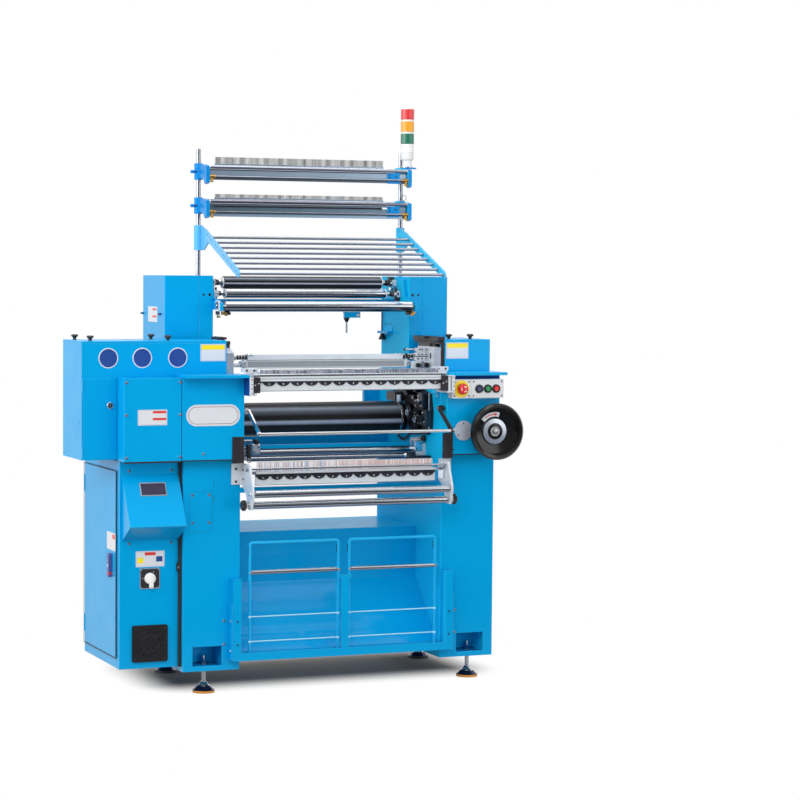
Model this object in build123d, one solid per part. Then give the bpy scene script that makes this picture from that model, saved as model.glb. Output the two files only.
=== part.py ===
from build123d import *
import math
import os

os.makedirs("parts", exist_ok=True)

# Crochet knitting machine. Millimetres, X along the needle row, Y to the back, Z up from the floor.
# Places are measured from the middle of the machine, the front of the side frames and the floor.

# General stock
running = 0.05
lift = 0.3
casting_wall = 12
sheet = 4
edge_radius = 3

# Side frames and what stands on them
frame_gap = 880
frame_width = 240
frame_depth = 677
frame_bottom = 102
frame_top = 1276
post_width = 61
post_front = 343
post_back = 642
post_top = 1678
left_post_cover_width = 148
right_post_cover_width = 117
half_gap = frame_gap / 2
outer_face = half_gap + frame_width

# Cross beams
rear_beam_y = (560, 640)
rear_beam_z = (940, 1010)
rear_beam_wall = 6
front_strip_y = (0, 26)
front_strip_z = (812, 832)
feed_beam_y = (488, 520)
feed_beam_z = (1546, 1580)
press_beam_y = (226, 254)
press_beam_z = (966, 984)

# Front covers, shelves and gear boxes
cover_depth = 50
cover_bottom = 951
left_cover_width = 260
cover_inset = 2
gear_box_front = 42
gear_box_back = 316
gear_box_top = 1410
gear_box_floor = 953
gear_box_overhang = 405
lid_thickness = 10
head_inset = 15
left_head_width = 31
right_head_width = 16
shelf_front = -108
shelf_thickness = 12
front_panel_inset = 24
front_panel_width = 237
control_box_depth = 40
control_box_z = (1182, 1260)
stop_box_inset = 5
stop_box_width = 85
row_box_inset = 2
cover_front = -cover_depth

# Electrical cabinet and its sloped desk
cabinet_width = 252
cabinet_front = 35
cabinet_back = 535
cabinet_bottom = 121
cabinet_top = 946
desk_reach = 110
desk_top = 893
desk_nose = 696
desk_foot = 631
desk_inset = 10
fan_radius = 58
fan_plate = 146

# Drive
main_shaft_place = (180, 1222)
main_shaft_radius = 15
belt_plane = 1010
belt_width = 22
drive_pulley_radius = 88
motor_pulley_radius = 34
motor_drop = 172
motor_radius = 72
motor_length = 170
handwheel_place = (628, 1046)
handwheel_radius = 117
handwheel_shaft_radius = 12
handwheel_ring = (27, 45)
rim_front = -151
hub_front = -116
hand_box_inset = 110
hand_box_bore = 40
hand_box_y = (120, 240)
hand_box_bottom = 985
hand_box_corner = 10

# Take-down roller and its spur gears
roller_place = (375, 1079)
roller_radius = 70.5
roller_clearance = 32
roller_half = half_gap - roller_clearance
rear_plate_bottom = 1112
rear_plate_height = 100
rear_plate_depth = 20
rear_plate_reach = 73
roller_journal = 15
gear_module = 3
roller_teeth = 40
middle_teeth = 24
input_teeth = 30
gear_width = 14
gear_side_gap = 14
first_mesh_angle = 165.5
second_mesh_angle = 195.8

# Needle units
needle_clearance = 59
needle_half = half_gap - needle_clearance
upper_plate_margin = 23
lower_plate_margin = 11
plate_half = needle_half + upper_plate_margin
lower_plate_half = needle_half + lower_plate_margin
unit_front = -105
lobes = 13
upper_unit_top = 1275
upper_unit_bottom = 1222
lower_unit_top = 898
lower_unit_bottom = 843
lower_unit_front = -36
plate_thickness = 5
comb_gaps = 60

# Weft bars
weft_place = 197
channel_bottom = 1300
channel_top = 1335
channel_depth = 32
channel_clearance = 85
channel_half = half_gap - channel_clearance
weft_half = channel_half - 11
weft_height = 21
weft_rod = 6

# Fabric rollers in front of the lower unit
upper_fabric_place = (-113, 815)
lower_fabric_place = (-95, 769)
fabric_roller_radius = 15
fabric_roller_clearance = 21
fabric_roller_half = half_gap - fabric_roller_clearance
journal_radius = 6
holder_web = 8
holder_profile = [(0, 930), (-62, 932), (-90, 926), (-132, 826), (-131, 800), (-112, 752), (-80, 752), (-50, 812),
                  (0, 846)]
holder_plate_width = 40
holder_plate_depth = 8
press_rod_place = (182, 957)
press_rod_radius = 10
press_block_length = 44
press_block_y = (158, 206)
press_block_z = (930, 982)
press_boss_place = (204, 986)
press_boss_radius = 20
comb_rod_place = (-76, 912)
comb_rod_radius = 5

# Guard bar
guard_pivot = (-25, 1140)
guard_rod_place = (-153, 1056)
guard_rod_radius = 6
guard_clearance = 28
guard_half = half_gap - guard_clearance

# Feed rollers
rubber_feed_place = (465, 1650)
chrome_feed_place = (423, 1604)
front_feed_place = (269, 1552)
rubber_feed_radius = 26
chrome_feed_radius = 20
front_feed_radius = 22
rubber_feed_clearance = 84
chrome_feed_clearance = 81
front_feed_clearance = 23
rubber_feed_half = half_gap - rubber_feed_clearance
chrome_feed_half = half_gap - chrome_feed_clearance
front_feed_half = half_gap - front_feed_clearance
feed_journal = 8
feed_plate = 12
feed_plate_top = 1676
feed_plate_rear = 28
feed_arm_front = 20
hook_plate = ((206, 277), (492, 514), (1522, 1546))
hook_place = (219, 503)
hook_bottom = 1436
hook_radius = 4
hook_collar = 9

# Creel
creel_post_radius = 10
creel_post_offset = 18
creel_post_y = 485
creel_post_top = 2203
clamp_tops = (2143, 2002)
clamp_height = 68
creel_reach = 386
rack_rods = 8
rack_first = (364, 1835)
rack_last = (9, 1687)
rack_rod_radius = 6
hub_radius = 18

# Lower front
channel_width = 32
channel_height = 33
channel_floor = 140
upright_top = 470
guard_tube_radius = 6
guard_tube_top = 611
guard_tube_bend = 10
guard_tube_rod_z = 492
guard_tube_rod_radius = 9
tube_y = -20
tube_inner_x = 24
tube_clearance = 35
tube_outer_x = half_gap - tube_clearance
tube_wires = (214, 314)
table_height = 625
table_front = 255
table_panel_bottom = 415
chute_front = 20
chute_bottom = 158
left_foot_inset = 118
right_foot_inset = 172
window_inset = 137
foot_radius = 45
foot_dome_top = 36
stud_radius = 8
stud_rise = 48
foot_nut = (14, 6)


# A block between two corners.
def block(x, y, z):
    size = [span[1] - span[0] for span in (x, y, z)]
    middle = [(span[0] + span[1]) / 2 for span in (x, y, z)]
    return Pos(*middle) * Box(*size)


# A round bar along one axis, placed by its two other coordinates.
def bar(axis, span, place, radius):
    length = span[1] - span[0]
    middle = (span[0] + span[1]) / 2
    if axis == "x":
        return Pos(middle, *place) * Rot(0, 90, 0) * Cylinder(radius, length)
    if axis == "y":
        return Pos(place[0], middle, place[1]) * Rot(90, 0, 0) * Cylinder(radius, length)
    return Pos(*place, middle) * Cylinder(radius, length)


# A turned piece from an outline of (along, radius) points.
def turned(axis, outline, place=(0, 0)):
    points = [(outline[0][0], 0), *outline, (outline[-1][0], 0)]
    about_x = revolve(Polygon(*points, align=None), Axis.X)
    if axis == "x":
        return Pos(0, *place) * about_x
    if axis == "y":
        return Pos(place[0], 0, place[1]) * Rot(0, 0, 90) * about_x
    return Pos(*place, 0) * Rot(0, -90, 0) * about_x


# A profile in Y and Z, extruded along X.
def side_profile(points, x):
    face = Plane.YZ.offset(x[0]) * Polygon(*points, align=None)
    return extrude(face, x[1] - x[0], dir=(1, 0, 0))


# A profile in X and Z, extruded along Y.
def front_profile(points, y):
    face = Plane.XZ.offset(-y[1]) * Polygon(*points, align=None)
    return extrude(face, y[1] - y[0], dir=(0, -1, 0))


# A sheet-metal box with rounded upright edges.
def sheet_box(x, y, z, wall):
    outside = fillet(block(x, y, z).edges().filter_by(Axis.Z), edge_radius)
    inside = block((x[0] + wall, x[1] - wall), (y[0] + wall, y[1] - wall), (z[0] + wall, z[1] - wall))
    return outside - inside


# The same piece on the other side of the machine.
def mirrored(piece):
    return mirror(piece, about=Plane.YZ)


def both_sides(piece):
    return [mirrored(piece), piece]


left_foot_x = half_gap + left_foot_inset
right_foot_x = half_gap + right_foot_inset
foot_rows = (100, frame_depth - 75)
window_x = half_gap + window_inset
window_width = 124
window_span = (frame_bottom + 20, frame_bottom + 98)


# A side frame is a hollow casting with a window over its front foot.
def side_frame(foot_x):
    frame = sheet_box((half_gap, outer_face), (0, frame_depth), (frame_bottom, frame_top), casting_wall)
    window = (window_x - window_width / 2, window_x + window_width / 2)
    frame -= block(window, (-1, casting_wall + 1), window_span)
    for foot_y in foot_rows:
        floor = (frame_bottom - 1, frame_bottom + casting_wall + 1)
        frame -= bar("z", floor, (foot_x, foot_y), stud_radius + running)
    inner_wall = (half_gap - 1, half_gap + casting_wall + 1)
    frame -= bar("x", inner_wall, main_shaft_place, main_shaft_radius + running)
    frame -= bar("x", inner_wall, roller_place, roller_journal + running)
    return frame


def left_side_frame():
    outer_wall = (outer_face - casting_wall - 1, outer_face + 1)
    bore = bar("x", outer_wall, main_shaft_place, main_shaft_radius + running)
    return mirrored(side_frame(left_foot_x) - bore)


# The gears stand in one row, each placed from the one before by its pitch radius.
def next_gear_place(place, teeth, next_teeth, angle):
    distance = gear_module * (teeth + next_teeth) / 2
    turn = math.radians(angle)
    return (place[0] + distance * math.cos(turn), place[1] + distance * math.sin(turn))


middle_place = next_gear_place(roller_place, roller_teeth, middle_teeth, first_mesh_angle)
input_place = next_gear_place(middle_place, middle_teeth, input_teeth, second_mesh_angle)
gear_end = half_gap - gear_side_gap
gear_span = (gear_end - gear_width, gear_end)
gear_pin_radius = 9
rear_plate_span = (rear_plate_bottom, rear_plate_bottom + rear_plate_height)


# The right frame also carries the gear pins, a rear plate and the bore of the handwheel shaft.
def right_side_frame():
    frame = side_frame(right_foot_x)
    for place in (middle_place, input_place):
        frame += bar("x", (gear_end + lift, half_gap), place, gear_pin_radius + 5)
        frame += bar("x", (gear_span[0] - 4, gear_end + lift), place, gear_pin_radius)
    frame += block((half_gap - rear_plate_reach, half_gap), (frame_depth - rear_plate_depth, frame_depth),
                   rear_plate_span)
    wheel_bore = (-1, casting_wall + 1)
    frame -= bar("y", wheel_bore, handwheel_place, handwheel_shaft_radius + running)
    return frame


# Levelling feet: a ring, a dome and a stud that passes through the frame's floor.
def leveling_feet():
    ring_top = 9
    outline = [(0, foot_radius), (ring_top, foot_radius), (ring_top + 3, foot_radius - 5),
               (foot_dome_top - 10, foot_radius - 18), (foot_dome_top - 3, stud_radius + 6),
               (foot_dome_top, stud_radius), (frame_bottom + stud_rise, stud_radius)]
    nut_radius, nut_sides = foot_nut
    feet = []
    for foot_x in (-left_foot_x, right_foot_x):
        for foot_y in foot_rows:
            nut_base = Pos(foot_x, foot_y, frame_bottom - nut_radius)
            nut = extrude(nut_base * RegularPolygon(nut_radius, nut_sides), nut_radius)
            feet.append(turned("z", outline, (foot_x, foot_y)) + nut)
    return feet


# Cross beams tie the two side frames and the two posts together.
def cross_beams():
    inside = (-half_gap, half_gap)
    core_y = (rear_beam_y[0] + rear_beam_wall, rear_beam_y[1] - rear_beam_wall)
    core_z = (rear_beam_z[0] + rear_beam_wall, rear_beam_z[1] - rear_beam_wall)
    rear = block(inside, rear_beam_y, rear_beam_z) - block(inside, core_y, core_z)
    strip = block(inside, front_strip_y, front_strip_z)
    feed = block(inside, feed_beam_y, feed_beam_z)
    press = block(inside, press_beam_y, press_beam_z)
    return [rear, strip, feed, press]


# Table at the back, folded on into the sheet that leads the fabric forward under it.
def rear_table():
    profile = [(frame_depth, table_height - sheet), (frame_depth, table_height), (table_front, table_height),
               (table_front, table_panel_bottom), (chute_front, chute_bottom), (chute_front, chute_bottom - 14),
               (chute_front + sheet, chute_bottom - 14), (chute_front + sheet, chute_bottom - 1),
               (table_front + sheet, table_panel_bottom - 1), (table_front + sheet, table_height - sheet)]
    return side_profile(profile, (-half_gap, half_gap))


# Front channel: a trough between two uprights, with a flat post in its middle.
def front_channel_frame():
    upright_in = half_gap + 7
    upright_out = upright_in + channel_width
    depth = (-40, 0)
    trough_top = channel_floor + channel_height
    frame = block((-upright_out, upright_out), depth, (channel_floor, trough_top))
    frame -= block((-upright_in, upright_in), (depth[0] + sheet, depth[1] - sheet),
                   (channel_floor + sheet, trough_top + 1))
    upright = block((upright_in, upright_out), depth, (trough_top, upright_top))
    upright -= block((upright_in + sheet, upright_out - sheet), (depth[0] + sheet, depth[1] + 1),
                     (trough_top + sheet, upright_top - sheet))
    post = block((-15, 15), (depth[0], depth[0] + sheet), (channel_floor + sheet, upright_top))
    frame += post
    for side in both_sides(upright):
        frame += side
    return frame


# Two guard frames of bent tube stand in the trough, each with two cross wires.
def tube_frames():
    floor = channel_floor + sheet
    corners = [(tube_inner_x, tube_y, floor), (tube_inner_x, tube_y, guard_tube_top),
               (tube_outer_x, tube_y, guard_tube_top), (tube_outer_x, tube_y, floor)]
    path = FilletPolyline(*corners, radius=guard_tube_bend)
    start = Plane(corners[0], z_dir=(0, 0, 1))
    frame = sweep(start * Circle(guard_tube_radius), path=path)
    for wire_z in tube_wires:
        frame += bar("x", (tube_inner_x, tube_outer_x), (tube_y, wire_z), 2.5)
    return both_sides(frame)


# Posts above the side frames, each with a sheet cover on its outer side.
def upper_columns():
    post = sheet_box((half_gap, half_gap + post_width), (post_front, post_back), (frame_top, post_top), 8)
    for hole_x in (half_gap + 16, half_gap + 42):
        post -= bar("y", (post_front - 1, post_front + 9), (hole_x, 1600), 4.5)
    return both_sides(post)


def upper_column_covers():
    start = half_gap + post_width
    depth = (post_front, post_back)
    height = (frame_top, post_top)
    left = sheet_box((start, start + left_post_cover_width), depth, height, sheet)
    right = sheet_box((start, start + right_post_cover_width), depth, height, sheet)
    return [mirrored(left), right]


# Front covers are trays that close on the side frames.
def column_covers():
    inner = half_gap + cover_inset
    height = (cover_bottom, frame_top)

    def tray(width):
        x = (inner, inner + width)
        box = fillet(block(x, (cover_front, 0), height).edges().filter_by(Axis.Z), edge_radius)
        box -= block((x[0] + sheet, x[1] - sheet), (cover_front + sheet, 1), (height[0] + sheet, height[1] - sheet))
        pivot_hole = bar("x", (inner - 1, inner + sheet + 1), guard_pivot, journal_radius + running)
        return box - pivot_hole

    shaft_hole = bar("y", (cover_front - 1, cover_front + sheet + 1), handwheel_place,
                     handwheel_shaft_radius + running)
    right = tray(outer_face - inner) - shaft_hole
    return [mirrored(tray(left_cover_width)), right]


# The left gear box is an L: it hangs outside the side frame and runs over its top.
left_box_out = outer_face + gear_box_overhang
left_box_in = half_gap + head_inset + left_head_width
right_box_in = half_gap + head_inset + right_head_width
right_box_out = outer_face - 3
gear_box_depth = (gear_box_front, gear_box_back)
front_panel_in = outer_face + front_panel_inset
front_panel_out = front_panel_in + front_panel_width
door_edge = 4
door_gap = 2
door_hinge_x = left_box_out - door_edge
door_width = door_hinge_x - front_panel_out - door_gap
lock_place = (27, 1167)
hinge_radius = 3
pin_radius = 1.5
box_knuckles = ((968, 1000), (1226, 1258))


def left_gear_box():
    over = block((left_box_in, left_box_out), gear_box_depth, (frame_top, gear_box_top))
    outside = block((outer_face, left_box_out), gear_box_depth, (gear_box_floor, gear_box_top)) + over
    inner_depth = (gear_box_front + sheet, gear_box_back - sheet)
    hollow = block((outer_face + sheet, left_box_out - sheet), inner_depth,
                   (gear_box_floor + sheet, gear_box_top + 1))
    hollow += block((left_box_in + sheet, left_box_out - sheet), inner_depth,
                    (frame_top + sheet, gear_box_top + 1))
    box = outside - hollow
    doorway = (door_hinge_x - door_width + 8, door_hinge_x - 8)
    box -= block(doorway, (gear_box_front - 1, gear_box_front + sheet + 1),
                 (gear_box_floor + 8, frame_top - 10))
    box -= bar("x", (outer_face - 1, outer_face + sheet + 1), main_shaft_place, main_shaft_radius + running)
    pin_y = gear_box_front - lift - hinge_radius
    for low, high in box_knuckles:
        knuckle = block((door_hinge_x - hinge_radius, door_hinge_x + hinge_radius), (pin_y, gear_box_front + 1),
                        (low, high))
        knuckle += bar("z", (low, high), (door_hinge_x, pin_y), hinge_radius)
        box += knuckle
        box += bar("z", (low - 14, high + 14), (door_hinge_x, pin_y), pin_radius)
    return mirrored(box)


# The small door turns on the two pins of the gear box.
def gear_box_door():
    pin_y = gear_box_front - lift - hinge_radius
    height = (gear_box_floor + 1, frame_top - 3)
    door = block((door_hinge_x - door_width, door_hinge_x - 1), (pin_y, pin_y + hinge_radius), height)
    for low, high in box_knuckles:
        door -= block((door_hinge_x - hinge_radius - 1, door_hinge_x + 1), (pin_y - 1, gear_box_front),
                      (low - 0.5, high + 0.5))
        for barrel in ((low - 14, low - 0.5), (high + 0.5, high + 14)):
            door += bar("z", barrel, (door_hinge_x, pin_y), hinge_radius)
            door -= bar("z", barrel, (door_hinge_x, pin_y), pin_radius + running)
    lock_x = door_hinge_x - door_width + lock_place[0]
    door += bar("y", (pin_y - 4, pin_y), (lock_x, lock_place[1]), 10)
    return mirrored(door)


# The middle panel stands proud of the gear box.
def gear_box_front_panel():
    x = (front_panel_in, front_panel_out)
    height = (gear_box_floor - 3, frame_top)
    panel = fillet(block(x, (cover_front, gear_box_front), height).edges().filter_by(Axis.Z), edge_radius)
    panel -= block((x[0] + sheet, x[1] - sheet), (cover_front + sheet, gear_box_front + 1),
                   (height[0] + sheet, height[1] - sheet))
    for screw_x in (x[0] + 14, x[1] - 14):
        for screw_z in (height[0] + 16, (height[0] + height[1]) / 2 + 20, height[1] - 16):
            panel += bar("y", (cover_front - 2, cover_front), (screw_x, screw_z), 5)
    return mirrored(panel)


def right_gear_box():
    box = block((right_box_in, right_box_out), gear_box_depth, (frame_top, gear_box_top))
    box -= block((right_box_in + sheet, right_box_out - sheet), (gear_box_front + sheet, gear_box_back - sheet),
                 (frame_top + sheet, gear_box_top + 1))
    return box


def gear_box_lids():
    height = (gear_box_top, gear_box_top + lid_thickness)
    left = block((-left_box_out, -left_box_in), gear_box_depth, height)
    right = block((right_box_in, right_box_out), gear_box_depth, height)
    return [fillet(lid.edges().group_by(Axis.Z)[-1], 2) for lid in (left, right)]


lid_knob_rows = (gear_box_front + 38, gear_box_back - 46)
lid_knob_places = [(-1040, lid_knob_rows[0]), (-720, lid_knob_rows[0]), (-1050, lid_knob_rows[1]),
                   (-731, lid_knob_rows[1]), (505, lid_knob_rows[0]), (603, lid_knob_rows[0])]
star_place = (-88, 770)
web_in = fabric_roller_half + 8
web_out = web_in + holder_web


# Mushroom knobs hold the lids, and two star knobs clamp the roller holders.
def clamp_knobs():
    base = gear_box_top + lid_thickness
    outline = [(base, 9), (base + 4, 6), (base + 9, 8), (base + 15, 15), (base + 21, 12)]
    knobs = [turned("z", outline, place) for place in lid_knob_places]
    star = bar("x", (web_out, web_out + 10), star_place, 9)
    grip = bar("x", (web_out + 10, web_out + 32), star_place, 16)
    for lobe in range(6):
        angle = math.radians(60 * lobe)
        place = (star_place[0] + 20 * math.cos(angle), star_place[1] + 20 * math.sin(angle))
        grip -= bar("x", (web_out + 9, web_out + 33), place, 6)
    return knobs + both_sides(star + grip)


def tool_shelves():
    height = (frame_top, frame_top + shelf_thickness)
    left = block((-outer_face - 20, -half_gap + 1), (shelf_front, gear_box_front), height)
    right = block((half_gap - 1, outer_face + 8), (shelf_front, gear_box_front), height)
    return [fillet(shelf.edges().filter_by(Axis.Z), 4) for shelf in (left, right)]


cabinet_out = outer_face + cabinet_width
cabinet_doorway = ((cabinet_front + 48, cabinet_back - 27), (cabinet_bottom + 52, cabinet_top - 53))
cabinet_door_y = (cabinet_front + 38, cabinet_back - 17)
cabinet_door_z = (cabinet_bottom + 42, cabinet_top - 43)
fan_place = (outer_face + 127, 220)
switch_place = (outer_face + 127, 479)
switch_plate = (83, 82)
fan_wall = 10


# Cabinet outside the left frame, with its sloped desk, the blank switch plate and the openings.
def electrical_cabinet():
    x = (outer_face, cabinet_out)
    cabinet = sheet_box(x, (cabinet_front, cabinet_back), (cabinet_bottom, cabinet_top), sheet)
    cabinet -= block((x[1] - sheet - 1, x[1] + 1), *cabinet_doorway)
    wall = (cabinet_front - 1, cabinet_front + sheet + 1)
    cabinet -= bar("y", wall, fan_place, fan_radius)
    plate_x = (switch_place[0] - switch_plate[0] / 2, switch_place[0] + switch_plate[0] / 2)
    plate_z = (switch_place[1] - switch_plate[1] / 2, switch_place[1] + switch_plate[1] / 2)
    cabinet += block(plate_x, (cabinet_front - 2, cabinet_front), plate_z)
    cabinet -= bar("y", (cabinet_front - 3, cabinet_front + sheet + 1), switch_place, 5 + running)
    pin_x = x[1] + lift + hinge_radius
    for low, high in cabinet_knuckles:
        knuckle = block((x[1] - 1, pin_x), (cabinet_hinge_y - hinge_radius, cabinet_hinge_y + hinge_radius),
                        (low, high))
        cabinet += knuckle + bar("z", (low, high), (pin_x, cabinet_hinge_y), hinge_radius)
        cabinet += bar("z", (low - 16, high + 16), (pin_x, cabinet_hinge_y), pin_radius)
    return mirrored(cabinet)


cabinet_hinge_y = cabinet_door_y[1] + 4
cabinet_knuckles = ((cabinet_door_z[0] + 60, cabinet_door_z[0] + 100),
                    (cabinet_door_z[1] - 100, cabinet_door_z[1] - 60))
handle_place = (cabinet_door_y[0] + 60, 524)


def cabinet_door():
    pin_x = cabinet_out + lift + hinge_radius
    door = block((cabinet_out + lift, pin_x), (cabinet_door_y[0], cabinet_hinge_y - 1), cabinet_door_z)
    for low, high in cabinet_knuckles:
        door -= block((cabinet_out, pin_x + 1), (cabinet_hinge_y - hinge_radius - 1, cabinet_hinge_y + 1),
                      (low - 0.5, high + 0.5))
        for barrel in ((low - 16, low - 0.5), (high + 0.5, high + 16)):
            door += bar("z", barrel, (pin_x, cabinet_hinge_y), hinge_radius)
            door -= bar("z", barrel, (pin_x, cabinet_hinge_y), pin_radius + running)
    door -= bar("x", (cabinet_out - 1, pin_x + 1), handle_place, 8 + running)
    return mirrored(door)


# A long flat handle whose spindle passes through the door to a latch blade behind it.
def cabinet_door_handle():
    face = cabinet_out + lift + hinge_radius
    grip = block((face + lift, face + 16), (handle_place[0] - 12, handle_place[0] + 12),
                 (handle_place[1] - 45, handle_place[1] + 50))
    grip = fillet(grip.edges().filter_by(Axis.X), 8)
    spindle = bar("x", (cabinet_out - sheet - 12, face + lift), handle_place, 8)
    blade = block((cabinet_out - sheet - 12, cabinet_out - sheet - 8),
                  (cabinet_doorway[0][0] + 4, handle_place[0] + 9), (handle_place[1] - 9, handle_place[1] + 9))
    return mirrored(grip + spindle + blade)


def control_desk():
    x = (-cabinet_out + desk_inset, -outer_face - desk_inset)
    nose = cabinet_front - desk_reach
    profile = [(cabinet_front, desk_top), (nose, desk_nose), (nose + 6, desk_nose - 6), (cabinet_front, desk_foot)]
    return side_profile(profile, x)


# The grille is a square plate with rings on four spokes and the fan's pin in the middle.
def fan_grille():
    half = fan_plate / 2
    front = cabinet_front - fan_wall
    plate = block((fan_place[0] - half, fan_place[0] + half), (front, cabinet_front),
                  (fan_place[1] - half, fan_place[1] + half))
    plate = fillet(plate.edges().filter_by(Axis.Y), 8)
    plate -= bar("y", (front - 1, cabinet_front + 1), fan_place, fan_radius)
    layer = (front, front + 4)
    for ring in (20, 33, 46):
        plate += bar("y", layer, fan_place, ring + 3) - bar("y", layer, fan_place, ring - 3)
    plate += block((fan_place[0] - fan_radius - 1, fan_place[0] + fan_radius + 1), layer,
                   (fan_place[1] - 3, fan_place[1] + 3))
    plate += block((fan_place[0] - 3, fan_place[0] + 3), layer,
                   (fan_place[1] - fan_radius - 1, fan_place[1] + fan_radius + 1))
    plate += bar("y", layer, fan_place, 10)
    plate += bar("y", (front, cabinet_front + 24), fan_place, 4)
    return mirrored(plate)


def fan_rotor():
    low = cabinet_front - fan_wall + 6
    high = cabinet_front + 22
    rotor = bar("y", (low, high), fan_place, 17)
    for blade in range(5):
        vane = Box(fan_radius - 18, 2.5, 24)
        vane = Pos(16 + (fan_radius - 18) / 2, 0, 0) * Rot(35, 0, 0) * vane
        vane = Pos(fan_place[0], (low + high) / 2, fan_place[1]) * Rot(0, 72 * blade, 0) * vane
        rotor += vane
    rotor -= bar("y", (low - 1, high + 1), fan_place, 4 + running)
    return mirrored(rotor)


# Rotary switch: a disc on a spindle, with a raised grip across it.
def main_switch_knob():
    face = cabinet_front - 2 - lift
    knob = turned("y", [(face - 12, 18), (face - 9, 20), (face, 20), (face, 5), (cabinet_front + sheet + 6, 5)],
                  switch_place)
    knob += fillet(block((switch_place[0] - 5, switch_place[0] + 5), (face - 26, face - 11),
                         (switch_place[1] - 18, switch_place[1] + 18)).edges().filter_by(Axis.Y), 4)
    return mirrored(knob)


# Main motor on the floor of the gear box, its shaft towards the outer wall.
motor_place = (main_shaft_place[0], main_shaft_place[1] - motor_drop)
motor_out = belt_plane - 40
motor_in = motor_out - motor_length


def main_motor():
    outline = [(motor_in - 36, motor_radius - 14), (motor_in - 34, motor_radius - 4), (motor_in - 2, motor_radius - 4),
               (motor_in - 2, motor_radius), (motor_out - 8, motor_radius), (motor_out, motor_radius - 16)]
    motor = turned("x", outline, motor_place)
    fins = 16
    for fin in range(fins):
        turn = Pos(0, *motor_place) * Rot(360 * fin / fins, 0, 0)
        motor -= turn * block((motor_in + 8, motor_out - 14), (-3, 3), (motor_radius - 7, motor_radius + 4))
    foot_x_span = (motor_in + 20, motor_out - 25)
    foot = block(foot_x_span, (motor_place[0] - 60, motor_place[0] + 60),
                 (gear_box_floor + sheet, gear_box_floor + sheet + 10))
    foot += block(foot_x_span, (motor_place[0] - 34, motor_place[0] + 34),
                  (gear_box_floor + sheet + 8, motor_place[1] - 40))
    motor += foot
    motor -= bar("x", (motor_out - 30, motor_out + 1), motor_place, 11 + running)
    return mirrored(motor)


def pulley(span, radius):
    flange = 3
    return [(span[0] - flange, radius + 4), (span[0], radius + 4), (span[0], radius), (span[1], radius),
            (span[1], radius + 4), (span[1] + flange, radius + 4)]


belt_span = (belt_plane - belt_width / 2, belt_plane + belt_width / 2)
groove_span = (belt_span[0] - 1, belt_span[1] + 1)


def motor_pulley():
    outline = pulley(groove_span, motor_pulley_radius)
    shaft = bar("x", (motor_out - 29, groove_span[1] + 12), motor_place, 11)
    return mirrored(turned("x", outline, motor_place) + shaft)


# The main shaft runs from the drive pulley through both side frames; three cams work the weft bars.
hand_box_in = half_gap + hand_box_inset


def main_shaft():
    shaft = bar("x", (-groove_span[1] - 10, hand_box_in + hand_box_bore - 2), main_shaft_place, main_shaft_radius)
    shaft += mirrored(turned("x", pulley(groove_span, drive_pulley_radius), main_shaft_place))
    for cam in range(3):
        cam_x = outer_face + 60 + 44 * cam
        lobe = (main_shaft_place[0] + 12 * math.cos(cam * 2.1), main_shaft_place[1] + 12 * math.sin(cam * 2.1))
        shaft += bar("x", (-cam_x - 16, -cam_x), lobe, 42)
    return shaft


# The belt is a closed band that clears both pulley grooves by the lift.
def drive_belt():
    thickness = 6

    def loop(extra):
        top = Circle(drive_pulley_radius + extra)
        low = Pos(0, -motor_drop) * Circle(motor_pulley_radius + extra)
        return make_hull(top.edges() + low.edges())

    band = loop(lift + thickness) - loop(lift)
    plane = Plane((belt_span[0], *main_shaft_place), x_dir=(0, 1, 0), z_dir=(1, 0, 0))
    return mirrored(extrude(plane * band, belt_width, dir=(1, 0, 0)))


# Closed right-angle gear case between the handwheel shaft and the main shaft.
def hand_drive_gearbox():
    x = (hand_box_in, outer_face - casting_wall)
    case = block(x, hand_box_y, (hand_box_bottom, frame_top - casting_wall))
    case = fillet(case.edges().filter_by(Axis.X), hand_box_corner)
    bore = (hand_box_y[0] - 1, hand_box_y[0] + hand_box_bore)
    case -= bar("y", bore, handwheel_place, handwheel_shaft_radius + running)
    case -= bar("x", (hand_box_in - 1, hand_box_in + hand_box_bore), main_shaft_place,
                main_shaft_radius + running)
    return case


# The handwheel is a dished disc with a heavy rim and a long hub shaft.
def handwheel():
    rim = handwheel_radius
    ring_inner, ring_outer = handwheel_ring
    outline = [(hub_front, ring_inner), (hub_front + 4, ring_outer), (hub_front + 9, ring_outer + 3),
               (hub_front + 2, rim - 26), (rim_front + 4, rim - 19), (rim_front, rim - 9),
               (rim_front + 8, rim - 1), (rim_front + 23, rim), (rim_front + 35, rim - 6),
               (hub_front + 10, rim - 24), (hub_front + 18, ring_outer + 3), (hub_front + 24, ring_inner + 3),
               (cover_front - lift, ring_inner - 1), (cover_front - lift, handwheel_shaft_radius),
               (hand_box_y[0] + hand_box_bore - 2, handwheel_shaft_radius)]
    return turned("y", outline, handwheel_place)


# Rubber-covered roller that draws the fabric down, with a journal at each end.
def take_down_roller():
    end = half_gap + casting_wall - 1
    outline = [(-end, roller_journal), (-roller_half, roller_journal), (-roller_half, roller_radius - 3),
               (-roller_half + 3, roller_radius), (roller_half - 3, roller_radius),
               (roller_half, roller_radius - 3), (roller_half, roller_journal), (end, roller_journal)]
    return turned("x", outline, roller_place)


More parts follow.
